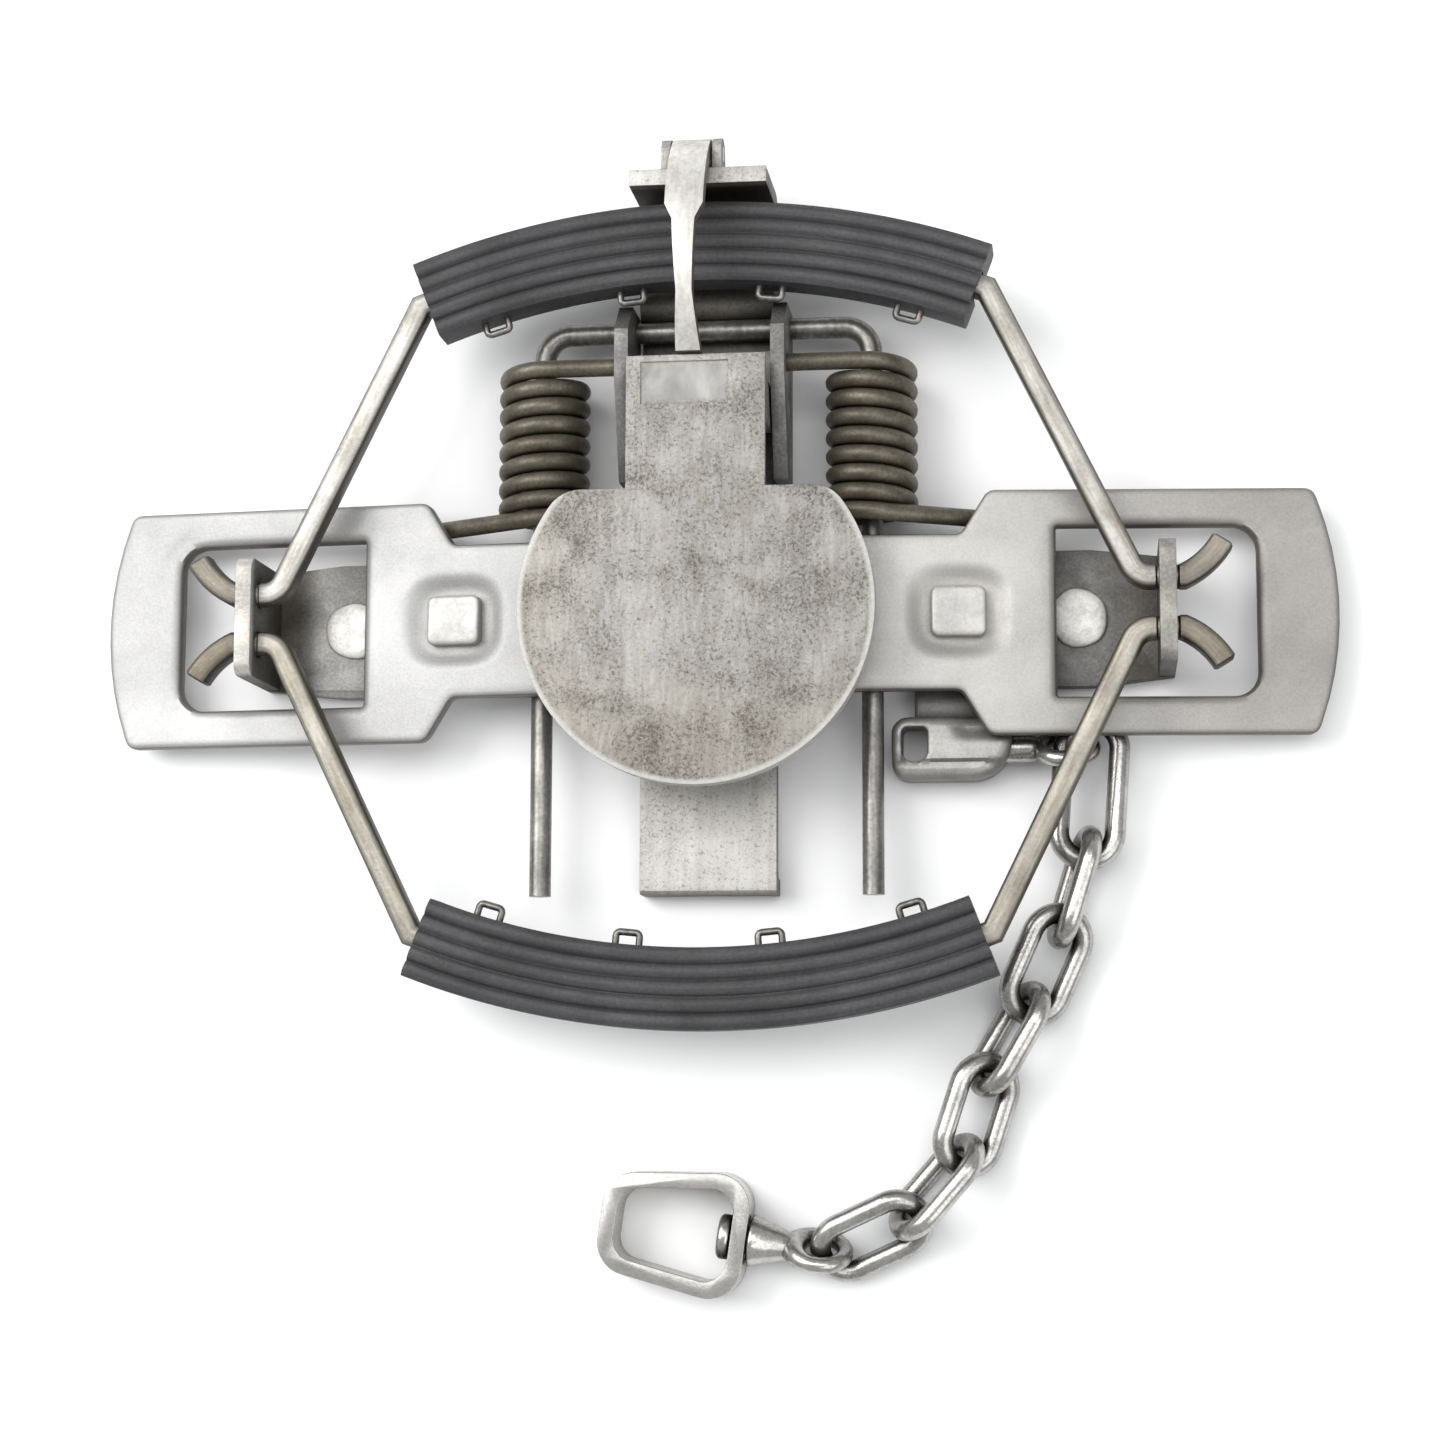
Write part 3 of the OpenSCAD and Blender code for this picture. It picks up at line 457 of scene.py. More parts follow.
def swept(form, rings, lengths, caps=True):
    """Skin over rings of points, with UVs along the lengths and round the rings."""
    k = len(rings[0])
    round_len = [0.0]
    for j in range(k):
        round_len.append(round_len[-1] + (rings[0][(j + 1) % k] - rings[0][j]).length)
    faces, uvs = [], []
    for i in range(len(rings) - 1):
        for j in range(k):
            a, b = i * k + j, i * k + (j + 1) % k
            faces.append((a, b, b + k, a + k))
            uvs.append([(lengths[i], round_len[j]), (lengths[i], round_len[j + 1]),
                        (lengths[i + 1], round_len[j + 1]), (lengths[i + 1], round_len[j])])
    if caps:
        last = (len(rings) - 1) * k
        for ring in (range(k - 1, -1, -1), range(last, last + k)):
            faces.append(tuple(ring))
            uvs.append([(0.0, 0.0)] * k)
    form.add([p for r in rings for p in r], faces, uvs)


def lengths_of(path):
    """Length of a path up to each of its points."""
    out = [0.0]
    for a, b in zip(path, path[1:]):
        out.append(out[-1] + (Vector(b) - Vector(a)).length)
    return out


def turns(count):
    """Angles of a full circle in equal steps."""
    return [2 * math.pi * j / count for j in range(count)]


def tube(form, path, radius, sides):
    """Round wire along a path."""
    pts = [Vector(p) for p in path]
    n = len(pts)
    tang = [(pts[min(i + 1, n - 1)] - pts[max(i - 1, 0)]).normalized() for i in range(n)]
    up = Vector((0, 1, 0)) if abs(tang[0].y) < 0.9 else Vector((0, 0, 1))
    rings = []
    for p, t in zip(pts, tang):
        up = (up - t * up.dot(t)).normalized()
        side = t.cross(up)
        rings.append([p + radius * (math.cos(a) * up + math.sin(a) * side) for a in turns(sides)])
    swept(form, rings, lengths_of(pts))


def round_section(w, h, r, steps=3):
    """Rounded rectangle of (across, up) points."""
    pts = []
    for cx, cy, first in ((w / 2 - r, h / 2 - r, 0), (r - w / 2, h / 2 - r, 90),
                          (r - w / 2, r - h / 2, 180), (w / 2 - r, r - h / 2, 270)):
        for i in range(steps + 1):
            a = math.radians(first + 90 * i / steps)
            pts.append((cx + r * math.cos(a), cy + r * math.sin(a)))
    return pts


def flat_bar(form, path, z, w, h, r):
    """Bar of rounded rectangular section along a path in plan, its ends a little rounded too."""
    pts = [Vector(p) for p in path]
    n = len(pts)
    out = []
    for i, p in enumerate(pts):
        a = (p - pts[i - 1]).normalized() if i else (pts[1] - p).normalized()
        b = (pts[i + 1] - p).normalized() if i < n - 1 else a
        mid = (a + b).normalized()
        out.append((p, Vector((-mid.y, mid.x)) / max(mid.dot(a), BAR_MITRE)))
    first, last = (pts[1] - pts[0]).normalized(), (pts[-1] - pts[-2]).normalized()
    steps = [(out[0][0], out[0][1], BAR_END), (out[0][0] + first * BAR_END, out[0][1], 0.0)]
    steps += [(p, v, 0.0) for p, v in out[1:-1]]
    steps += [(out[-1][0] - last * BAR_END, out[-1][1], 0.0), (out[-1][0], out[-1][1], BAR_END)]
    rings = []
    for p, across, cut in steps:
        section = round_section(w - 2 * cut, h - 2 * cut, r)
        rings.append([Vector((p.x + across.x * u, p.y + across.y * u, z + v)) for u, v in section])
    swept(form, rings, lengths_of([s[0].to_3d() for s in steps]))


def rounded(node, width, material, drawn=None):
    """Copy of a CAD node with its sharp edges rounded over the width, which stands for the node.

    drawn: gives a vertex of the copy its place, from the CAD one.
    """
    src = frame["nodes"][node]
    bm = bmesh.new()
    bm.from_mesh(src.data)
    bmesh.ops.remove_doubles(bm, verts=bm.verts, dist=CAD_WELD * MM)
    for v in bm.verts if drawn else ():
        v.co = drawn(v.co / MM) * MM
    bmesh.ops.dissolve_limit(bm, angle_limit=math.radians(FLAT_ANGLE), verts=bm.verts, edges=bm.edges)
    bmesh.ops.recalc_face_normals(bm, faces=bm.faces)
    me = bpy.data.meshes.new(node + "_shown")
    bm.to_mesh(me)
    bm.free()
    o = bpy.data.objects.new(node + "_shown", me)
    bpy.context.scene.collection.objects.link(o)
    mod = o.modifiers.new("round", "BEVEL")
    mod.width = width * MM
    mod.segments = EDGE_SEGMENTS
    mod.limit_method = "ANGLE"
    mod.angle_limit = math.radians(EDGE_ANGLE)
    mod.use_clamp_overlap = True
    mod.miter_outer = "MITER_ARC"
    bpy.context.view_layer.update()
    done = bpy.data.meshes.new_from_object(o.evaluated_get(bpy.context.evaluated_depsgraph_get()))
    o.modifiers.clear()
    o.data = done
    shade(o, EDGE_SMOOTH)
    done.materials.clear()
    done.materials.append(material)
    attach(o, src["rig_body"])
    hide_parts(node)


def paint(node, material):
    """The CAD node itself, in the material."""
    o = frame["nodes"][node]
    o.data.materials.clear()
    o.data.materials.append(material)


# Plates: pressed sheets between an outline and its holes

ARC_STEP, LINE_STEP = 0.5, 1.5  # spacing of the points on a loop's arcs and straight lines
NO_CORNER = 88.0                # half the angle from which a corner counts as straight
LOOP_MITRE = 0.6
SQUARE = ((-1, -1), (1, -1), (1, 1), (-1, 1))


def smoothstep(x):
    x = min(max(x, 0.0), 1.0)
    return x * x * (3 - 2 * x)


def bump_at(x, middle, width):
    """Bell of height 1 about the middle."""
    return math.exp(-((x - middle) / width) ** 2)


def edge_drop(d, r):
    """How far an edge of radius r lies below its face, at the distance d from it."""
    return r - math.sqrt(max(r * r - (r - d) ** 2, 0.0)) if d < r else 0.0


def round_loop(corners):
    """Loop through (x, y, radius) corners, each rounded by its radius."""
    n = len(corners)
    pts = []
    for i in range(n):
        p = Vector(corners[i][:2])
        r = corners[i][2]
        u = (Vector(corners[i - 1][:2]) - p).normalized()
        v = (Vector(corners[(i + 1) % n][:2]) - p).normalized()
        half = math.acos(max(-1.0, min(1.0, u.dot(v)))) / 2
        if r <= 0 or half > math.radians(NO_CORNER):
            pts.append(p)
            continue
        c = p + (u + v).normalized() * (r / math.sin(half))
        a = p + u * (r / math.tan(half)) - c
        sweep = (math.pi - 2 * half) * (-1 if u.cross(v) > 0 else 1)
        steps = max(3, int(abs(sweep) * r / ARC_STEP))
        for k in range(steps + 1):
            t = sweep * k / steps
            pts.append(c + Vector((a.x * math.cos(t) - a.y * math.sin(t),
                                   a.x * math.sin(t) + a.y * math.cos(t))))
    out = []
    for a, b in zip(pts, pts[1:] + pts[:1]):
        steps = max(1, int((b - a).length / LINE_STEP))
        out += [a.lerp(b, k / steps) for k in range(steps)]
    return out


def drawn_in(loop, d):
    """Loop moved by d to its left."""
    n = len(loop)
    out = []
    for i, p in enumerate(loop):
        a = (p - loop[i - 1]).normalized()
        b = (loop[(i + 1) % n] - p).normalized()
        m = (a + b).normalized()
        out.append(p + Vector((-m.y, m.x)) * (d / max(m.dot(a), LOOP_MITRE)))
    return out


def inside(p, loop):
    hit = False
    for a, b in zip(loop, loop[1:] + loop[:1]):
        if (a.y > p.y) != (b.y > p.y) and p.x < (b.x - a.x) * (p.y - a.y) / (b.y - a.y) + a.x:
            hit = not hit
    return hit


def between(p, loops):
    """Whether p lies inside the first loop and outside the others."""
    return inside(p, loops[0]) and not any(inside(p, hole) for hole in loops[1:])


def reach(p, loop):
    """Distance from p to the loop."""
    best = 1e9
    for a, b in zip(loop, loop[1:] + loop[:1]):
        ab = b - a
        t = min(max((p - a).dot(ab) / max(ab.dot(ab), 1e-12), 0.0), 1.0)
        best = min(best, (p - a - ab * t).length)
    return best


def plate(loops, insets, grid, heights, fine=None):
    """Sheet between an outline and its holes: heights(p, distances to the loops) gives its top and underside.

    insets: how far in the rows of points along each loop lie. grid: step of the points between them,
    which is twice as long where fine is given and fine(p) is false.
    """
    pts, edges, rims, limits = [], [], [], []
    for loop, steps in zip(loops, insets):
        for k, row in enumerate([loop] + [drawn_in(loop, d) for d in steps]):
            base = len(pts)
            pts += row
            edges += [(base + i, base + (i + 1) % len(row)) for i in range(len(row))]
            if k == 0:
                rims.append(range(base, base + len(row)))
        limits.append(row)
    xs, ys = [p.x for p in loops[0]], [p.y for p in loops[0]]
    for i in range(int((max(xs) - min(xs)) / grid) + 1):
        for j in range(int((max(ys) - min(ys)) / grid) + 1):
            p = Vector((min(xs) + i * grid, min(ys) + j * grid))
            wanted = fine is None or fine(p) or (i % 2 == 0 and j % 2 == 0)
            if wanted and between(p, limits) and min(reach(p, row) for row in limits) > 0.5 * grid:
                pts.append(p)
    flat, _, tris, origin, _, _ = delaunay_2d_cdt(pts, edges, [], 0, 1e-5)
    place = {j: i for i, froms in enumerate(origin) for j in froms}
    tris = [t for t in tris if between((flat[t[0]] + flat[t[1]] + flat[t[2]]) / 3, loops)]
    tall = [heights(p, [reach(p, loop) for loop in loops]) for p in flat]
    n = len(flat)
    verts = ([(p.x, p.y, t) for p, (t, _) in zip(flat, tall)]
             + [(p.x, p.y, b) for p, (_, b) in zip(flat, tall)])
    faces = [tuple(t) for t in tris] + [tuple(n + i for i in reversed(t)) for t in tris]
    for rim in rims:
        ids = [place[i] for i in rim]
        faces += [(a, b, b + n, a + n) for a, b in zip(ids, ids[1:] + ids[:1])]
    return verts, faces


# Levers: rounded edges, a rolled window edge with dents at its outer corners, and a dish for the rivet

NECK_ROUND, SHOULDER_IN_ROUND, SHOULDER_OUT_ROUND, TIP_ROUND = 1.0, 2.0, 2.5, 2.2
WINDOW_ROUND_IN, WINDOW_ROUND_OUT = 0.4, 4.5
EDGE_R, WINDOW_ROLL, UNDER_R = 0.9, 1.7, 0.4
EDGE_ROWS, LEVER_GRID, FINE_HALF = (0.12, 0.4, 1.0), 0.75, (12, 11)
DISH_HALF, DISH_FLOOR, DISH_POWER = (10.2, 9.2), 0.6, 3.2
MOAT_DEPTH, MOAT_OUT, MOAT_WIDTH = 0.1, 0.05, 0.2
DENT_IN, DENT_DEPTH, DENT_AWAY, DENT_WIDTH, DENT_REACH = 1.3, 0.55, 2.6, 1.3, 4.5
TILT = math.radians(LEVER_SLOPE)


def lever_outline():
    centre = LEVER_TIP - LEVER_END_R
    end_x = centre + math.sqrt(LEVER_END_R ** 2 - (LEVER_W / 2) ** 2)
    tip = math.asin(LEVER_W / 2 / LEVER_END_R)
    arc = [(centre + LEVER_END_R * math.cos(tip * t), LEVER_END_R * math.sin(tip * t), 0)
           for t in (i / 10 for i in range(-9, 10, 2))]
    half = [(NECK_END, NECK_W / 2, NECK_ROUND), (SHOULDER_IN, NECK_W / 2, SHOULDER_IN_ROUND),
            (SHOULDER_OUT, LEVER_W / 2, SHOULDER_OUT_ROUND), (end_x, LEVER_W / 2, TIP_ROUND)]
    return round_loop([(x, -y, r) for x, y, r in half] + arc + half[::-1])


def lever_window():
    w = WINDOW_W / 2
    return round_loop([(WINDOW_IN, w, WINDOW_ROUND_IN), (WINDOW_OUT, w, WINDOW_ROUND_OUT),
                       (WINDOW_OUT, -w, WINDOW_ROUND_OUT), (WINDOW_IN, -w, WINDOW_ROUND_IN)])


def lever_heights(p, away):
    d_out, d_win = away
    top = LEVER_T - edge_drop(d_out, EDGE_R) - edge_drop(d_win, WINDOW_ROLL)
    rho = ((abs(p.x - DISH_X) / DISH_HALF[0]) ** DISH_POWER
           + (abs(p.y) / DISH_HALF[1]) ** DISH_POWER) ** (1 / DISH_POWER)
    top -= DISH_DEPTH * (1 - smoothstep((rho - DISH_FLOOR) / (1 - DISH_FLOOR)))
    top -= MOAT_DEPTH * bump_at(rho, DISH_FLOOR + MOAT_OUT, MOAT_WIDTH)
    corner = Vector((WINDOW_OUT - DENT_IN, math.copysign(WINDOW_W / 2 - DENT_IN, p.y)))
    top -= DENT_DEPTH * bump_at(d_win, DENT_AWAY, DENT_WIDTH) * bump_at((p - corner).length, 0.0, DENT_REACH)
    return LEVER_H + top, LEVER_H + edge_drop(min(d_out, d_win), UNDER_R)


def near_dish(p):
    return abs(p.x - DISH_X) < FINE_HALF[0] and abs(p.y) < FINE_HALF[1]


def on_lever(s, points):
    """Places on the lever at side s, from the lever's own X and Y and height above the rod's axis."""
    return [Vector((s * (ROD_X + (x - ROD_X) * math.cos(TILT) + z * math.sin(TILT)), y,
                    ROD_Z - (x - ROD_X) * math.sin(TILT) + z * math.cos(TILT))) for x, y, z in points]


LEVER_PLATE = plate([lever_outline(), lever_window()],
                    [[r * f for f in EDGE_ROWS] for r in (EDGE_R, WINDOW_ROLL)],
                    LEVER_GRID, lever_heights, near_dish)

# Lever rivets: square heads, hammered a little uneven, on a shank with a round head below
RIVET_SEAT, RIVET_H, RIVET_HALF, RIVET_ROUND, RIVET_EDGE = LEVER_H + 1.8, 2.2, (5.0, 4.6), 1.4, 0.6
RIVET_ROWS, RIVET_GRID = [0.08, 0.25, 0.6], 0.6
UNEVEN, UNEVEN_RATE, UNEVEN_START, UNEVEN_ROOM = (0.12, 0.1), (0.5, 0.6), 0.4, 0.15
LEAF_T, SHANK_R, SHANK_IN, FOOT_HEAD_R, FOOT_HEAD_H = 1.6, 2.9, 0.4, 4.5, 1.4


def rivet_heights(p, away):
    lift = (UNEVEN[0] * math.sin(UNEVEN_RATE[0] * p.x + UNEVEN_START)
            - UNEVEN[1] * math.sin(UNEVEN_RATE[1] * p.y))
    return RIVET_SEAT + RIVET_H + lift - UNEVEN_ROOM - edge_drop(away[0], RIVET_EDGE), RIVET_SEAT


RIVET_OUTLINE = round_loop([(DISH_X + i * RIVET_HALF[0], j * RIVET_HALF[1], RIVET_ROUND) for i, j in SQUARE])
RIVET_VERTS, RIVET_FACES = plate([RIVET_OUTLINE], [RIVET_ROWS], RIVET_GRID, rivet_heights)
LEAF_LOW = LEVER_H - LEAF_T
SHANK = [(DISH_X, 0, z) for z in (LEAF_LOW - FOOT_HEAD_H / 2, LEAF_LOW, RIVET_SEAT + SHANK_IN)]
FOOT_HEAD = [(DISH_X, 0, z) for z in (LEAF_LOW - FOOT_HEAD_H, LEAF_LOW - FOOT_HEAD_H / 2, LEAF_LOW)]
for side, s in (("left", -1), ("right", 1)):
    form = Form()
    form.add(on_lever(s, RIVET_VERTS), RIVET_FACES)
    tube(form, on_lever(s, SHANK), SHANK_R, sides=32)
    tube(form, on_lever(s, FOOT_HEAD), FOOT_HEAD_R, sides=40)
    head = new_piece(side + "_rivet_head", form, RIVET_STEEL, side + "_lever")
    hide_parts(side + "_lever_rivet")

for side, s, material in (("left", -1, ZINC), ("right", 1, ZINC_RIGHT)):
    form = Form()
    form.add(on_lever(s, LEVER_PLATE[0]), LEVER_PLATE[1])
    lever = new_piece(side + "_lever_plate", form, material, side + "_lever", smooth=38.0)
    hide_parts(side + "_lever")


# Jaws: one bent bar each, with a pivot pin through each post and a tail beyond it

PAST_PAD, ARC_STEPS = 1.5, 24
BEND_R, BEND_IN, BEND_STEPS = 4.0, 1.0, 10
TAIL_R, TAIL_FIRST, TAIL_LAST, TAIL_OUT = 16.0, math.radians(25), math.radians(60), 1.0
BAR_ROUND, TAIL_ROUND = 1.2, 0.9
PIVOT_PAST, PIVOT_PLAY = 1.5, 0.1


def jaw_paths():
    """In plan: the upper jaw's bar from post to post, and the tail beyond its right post."""
    turn = math.asin((PAD_HALF + PAST_PAD) / PAD_R)
    arc = [(PAD_R * math.sin(turn * t / ARC_STEPS), ARC_Y + PAD_R * math.cos(turn * t / ARC_STEPS))
           for t in range(ARC_STEPS + 1)]
    bend_x = POST_IN - BEND_IN
    drop = Vector((bend_x - arc[-1][0], arc[-1][1] - JAW_Y - BEND_R))
    swing = math.atan2(drop.y, drop.x) + math.asin(BEND_R / drop.length)
    root = [(bend_x + BEND_R * math.cos(a), JAW_Y + BEND_R + BEND_R * math.sin(a))
            for a in (math.radians(270) - swing * (1 - i / BEND_STEPS) for i in range(BEND_STEPS + 1))]
    half = arc + root + [(POST_IN, JAW_Y)]
    tail = [(POST_OUT, JAW_Y)] + [
        (POST_OUT + TAIL_OUT + TAIL_R * (math.sin(a) - math.sin(TAIL_FIRST)),
         JAW_Y + TAIL_R * (math.cos(TAIL_FIRST) - math.cos(a)))
        for a in (TAIL_FIRST + (TAIL_LAST - TAIL_FIRST) * i / BEND_STEPS for i in range(BEND_STEPS + 1))]
    return [(-x, y) for x, y in reversed(half[1:])] + half, tail


BAR_PATH, TAIL_PATH = jaw_paths()
PIVOT_XS = (POST_IN - PIVOT_PAST, POST_IN, POST_OUT, POST_OUT + PIVOT_PAST)
for name, s in (("upper", 1), ("lower", -1)):
    form = Form()
    flat_bar(form, [(x, s * y) for x, y in BAR_PATH], JAW_Z, BAR_W, BAR_H, BAR_ROUND)
    for t in (-1, 1):
        flat_bar(form, [(t * x, s * y) for x, y in TAIL_PATH], JAW_Z, BAR_W, BAR_H, TAIL_ROUND)
        tube(form, [(t * x, s * JAW_Y, JAW_Z) for x in PIVOT_XS], PIVOT_D / 2 - PIVOT_PLAY, sides=24)
    bar = new_piece(name + "_jaw_bar", form, JAW_STEEL, name + "_jaw")
    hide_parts(name + "_jaw")


# Swivel bracket: a pressed cup on a foot at the base strip, with a hole at its left and a lip in front

CUP_X, CUP_Y, CUP_LOW, CUP_TOP, CUP_WALL, CUP_EDGE = (34.0, 56.0), (-30.0, -18.6), 2.0, 10.0, 1.8, 2.0
CUP_ROUND, CUP_NOSE_ROUND, CUP_SHEET, CUP_SKIRT, CUP_THIN, CUP_GRID = 3.0, 7.5, 1.2, 1.0, 0.6, 0.6
CUP_ROWS, HOLE_ROWS, WALL_STEP = [0.1, 0.35, 0.9], [0.1, 0.35], 0.05
HOLE_X, HOLE_Y, HOLE_ROUND_BACK, HOLE_ROUND_FRONT, HOLE_EDGE = (35.9, 40.6), (-26.8, -20.6), 1.0, 2.0, 0.6
SLOPE_X, SLOPE_Y, SLOPE_OVER, SLOPE_FALL = 44.0, -23.6, (4.0, 3.0), 1.9
LIP_WIDTH, LIP_OVER, LIP_FALL = 2.6, 0.8, 0.9
GROOVE_AT, GROOVE_WIDTH, GROOVE_DEPTH = 3.0, 0.35, 0.5
STEM_X, STEM_YS, STEM_Z, STEM_W, STEM_H, STEM_ROUND = 45.0, (-12.7, -16.0, -19.6), 2.6, 14.0, 4.0, 0.8


def cup_heights(p, away):
    d_out, d_hole = away
    slope = smoothstep((p.y - SLOPE_Y) / SLOPE_OVER[1]) * smoothstep((p.x - SLOPE_X) / SLOPE_OVER[0])
    front = p.y - CUP_Y[0]
    top = CUP_TOP - SLOPE_FALL * slope - LIP_FALL * (1 - smoothstep((front - LIP_WIDTH) / LIP_OVER))
    top -= GROOVE_DEPTH * bump_at(front, GROOVE_AT, GROOVE_WIDTH)
    shell = max(top - CUP_SHEET, CUP_LOW + CUP_SKIRT)
    top -= edge_drop(d_out, CUP_EDGE) + edge_drop(d_hole, HOLE_EDGE)
    in_wall = d_out < CUP_WALL + 0.4 * WALL_STEP
    return top, CUP_LOW if in_wall else min(shell, top - CUP_THIN)


CUP_LOOP = round_loop([(CUP_X[0], CUP_Y[0], CUP_ROUND), (CUP_X[1], CUP_Y[0], CUP_NOSE_ROUND),
                       (CUP_X[1], CUP_Y[1], CUP_ROUND), (CUP_X[0], CUP_Y[1], CUP_ROUND)])
HOLE_LOOP = round_loop([(HOLE_X[0], HOLE_Y[1], HOLE_ROUND_BACK), (HOLE_X[1], HOLE_Y[1], HOLE_ROUND_BACK),
                        (HOLE_X[1], HOLE_Y[0], HOLE_ROUND_FRONT), (HOLE_X[0], HOLE_Y[0], HOLE_ROUND_FRONT)])
form = Form()
form.add(*plate([CUP_LOOP, HOLE_LOOP], [CUP_ROWS + [CUP_WALL, CUP_WALL + WALL_STEP], HOLE_ROWS],
                CUP_GRID, cup_heights))
flat_bar(form, [(STEM_X, y) for y in STEM_YS], STEM_Z, STEM_W, STEM_H, STEM_ROUND)
cup = new_piece("swivel_cup", form, SWIVEL_STEEL, "frame", smooth=50.0)
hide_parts("swivel_bracket")


# Base rivets: hammered flat heads, a little out of round

# Shares of the head's radius and height, from its edge to its middle
HEAD_PROFILE = ((1.0, 0.0), (1.0, 0.45), (0.93, 0.8), (0.75, 0.95), (0.4, 1.0), (0.02, 0.97))
OUT_OF_ROUND, HEAD_DENT = 0.035, 0.10


def base_head(s):
    """Rings of points from the head's edge to its middle, at side s."""
    rings = []
    for r, h in HEAD_PROFILE:
        ring = []
        for a in turns(48):
            wobble = 1 - OUT_OF_ROUND * (1 + math.sin(2 * a + s) * 0.6 + math.sin(5 * a + 2 * s) * 0.4)
            dent = HEAD_DENT * math.sin(3 * a + s) * r * (1 - r)
            ring.append(Vector((s * BASE_RIVET_X + BASE_RIVET_R * r * wobble * math.cos(a),
                                BASE_RIVET_R * r * wobble * math.sin(a),
                                STRIP_T + BASE_RIVET_H * (h + dent))))
        rings.append(ring)
    return rings


form = Form()
for s in (-1, 1):
    swept(form, base_head(s), [0.0] * len(HEAD_PROFILE))
heads = new_piece("base_rivet_heads", form, BRIGHT_RIVET, "frame")
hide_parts("base_rivets")


# Other steel pieces: the CAD forms, most of them with rounded edges

FOOT_Y, FOOT_TOP, FOOT_R = -50.5, 6.0, 4.5
# How near the bend's arc a point is, and how far it goes towards the corner
ON_BEND, FOOT_SHARPNESS = 0.1, 0.75


def sharp_foot(p):
    """The foot's bend, drawn out to a sharper corner."""
    y, z = p.y - FOOT_Y - FOOT_R, p.z - FOOT_TOP + FOOT_R
    if y >= 0 or z <= 0 or abs(math.hypot(y, z) - FOOT_R) > ON_BEND:
        return p
    grow = min(FOOT_R / max(-y, z), 1.0 + FOOT_SHARPNESS * (math.sqrt(2) - 1))
    return Vector((p.x, FOOT_Y + FOOT_R + y * grow, FOOT_TOP - FOOT_R + z * grow))


rounded("base_strip", 0.5, STRIP_STEEL)
rounded("cross_frame", 0.5, FOOT_ZINC, sharp_foot)
rounded("pan_bracket", 0.4, BRACKET_STEEL)
rounded("left_knuckle", 0.4, STRIP_STEEL)
rounded("right_knuckle", 0.4, STRIP_STEEL)
rounded("dog", 0.45, DOG_STEEL)
rounded("pan", 0.6, PAN_METAL)
rounded("end_ring", 1.0, RING_STEEL)

for node in ("centre_rivet", "bracket_rivets"):
    paint(node, RIVET_STEEL)
for node in ("spring_rod", "pan_pin", "dog_pin"):
    paint(node, ROD_STEEL)
for i in range(1, 8):
    paint("chain_link_%d" % i, CHAIN_STEEL)


# Coil springs: round wire, from the bracket leg round the turns to the leg under the lever

COIL_STEP, LEG_SHARES = 9, (0.33, 0.66, 1.0)


def coil_path():
    turn = 360.0 * COIL_TURNS + LEG_TURN
    steps = int(turn / COIL_STEP)

    def at(a):
        r = math.radians(a)
        return Vector((ROD_X + COIL_R * math.sin(r), COIL_Y - COIL_PITCH * a / 360,
                       ROD_Z + COIL_R * math.cos(r)))
    top = ROD_Z + COIL_R
    pts = [Vector((LEG_IN, COIL_Y, top)), Vector(((LEG_IN + ROD_X) / 2, COIL_Y, top))]
    pts += [at(turn * i / steps) for i in range(steps + 1)]
    r = math.radians(turn)
    out = Vector((math.cos(r), 0, -math.sin(r)))
    pts += [at(turn) + LEG_REACH * f * out for f in LEG_SHARES]
    return pts


for side, s in (("left", -1), ("right", 1)):
    form = Form()
    tube(form, [Vector((s * p.x, p.y, p.z)) for p in coil_path()], COIL_WIRE / 2, sides=16)
    coil = new_piece(side + "_coil_wire", form, SPRING_STEEL, None)
    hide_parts(side + "_coil_spring")
    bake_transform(coil)


# Rubber pads: a ribbed section carried along the pad's curve

PAD_RIBS, RIB_DIP, RIB_POWER, PAD_CROWN, PAD_LIP = 5, 1.3, 0.35, 0.35, 0.5
FACE_POINTS, PAD_STEPS = 60, 72
SLOT_HALF, SLOT_ROOF = 2.4, 1.5


def pad_section():
    """Ring of (radial, height) points, from the pad's middle line and its top face."""
    half = PAD_W / 2
    pts = []
    for i in range(FACE_POINTS + 1):
        u = -half + PAD_LIP + (PAD_W - 2 * PAD_LIP) * i / FACE_POINTS
        wave = abs(math.sin(math.pi * (u + half) / PAD_W * PAD_RIBS)) ** RIB_POWER
        crown = PAD_CROWN * (1 - (u / half) ** 2)
        pts.append((u, -RIB_DIP * (1 - wave) - PAD_CROWN + crown))
    shoulder = [(half - 0.05, -0.9), (half, -1.6)]
    foot = [(half, 1.2 - PAD_H), (half - 0.3, 0.35 - PAD_H), (half - 0.9, -PAD_H)]
    side = shoulder + foot + [(SLOT_HALF, -PAD_H), (SLOT_HALF, -SLOT_ROOF)]
    return pts + side + [(-u, v) for u, v in reversed(side)]


PAD_TURN = math.asin(PAD_HALF / PAD_R)
PAD_ANGLES = [-PAD_TURN + 2 * PAD_TURN * i / PAD_STEPS for i in range(PAD_STEPS + 1)]
for name, s in (("upper", 1), ("lower", -1)):
    section = pad_section()
    rings = [[Vector(((PAD_R + u) * math.sin(a), s * (ARC_Y + (PAD_R + u) * math.cos(a)), PAD_FACE + v))
              for u, v in section] for a in PAD_ANGLES]
    form = Form()
    swept(form, rings, [PAD_R * (a + PAD_TURN) for a in PAD_ANGLES])
    pad = new_piece(name + "_rubber_pad", form, RUBBER, name + "_jaw")
    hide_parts(name + "_pad")


# Pad clips: small wire staples at each pad's inner edge

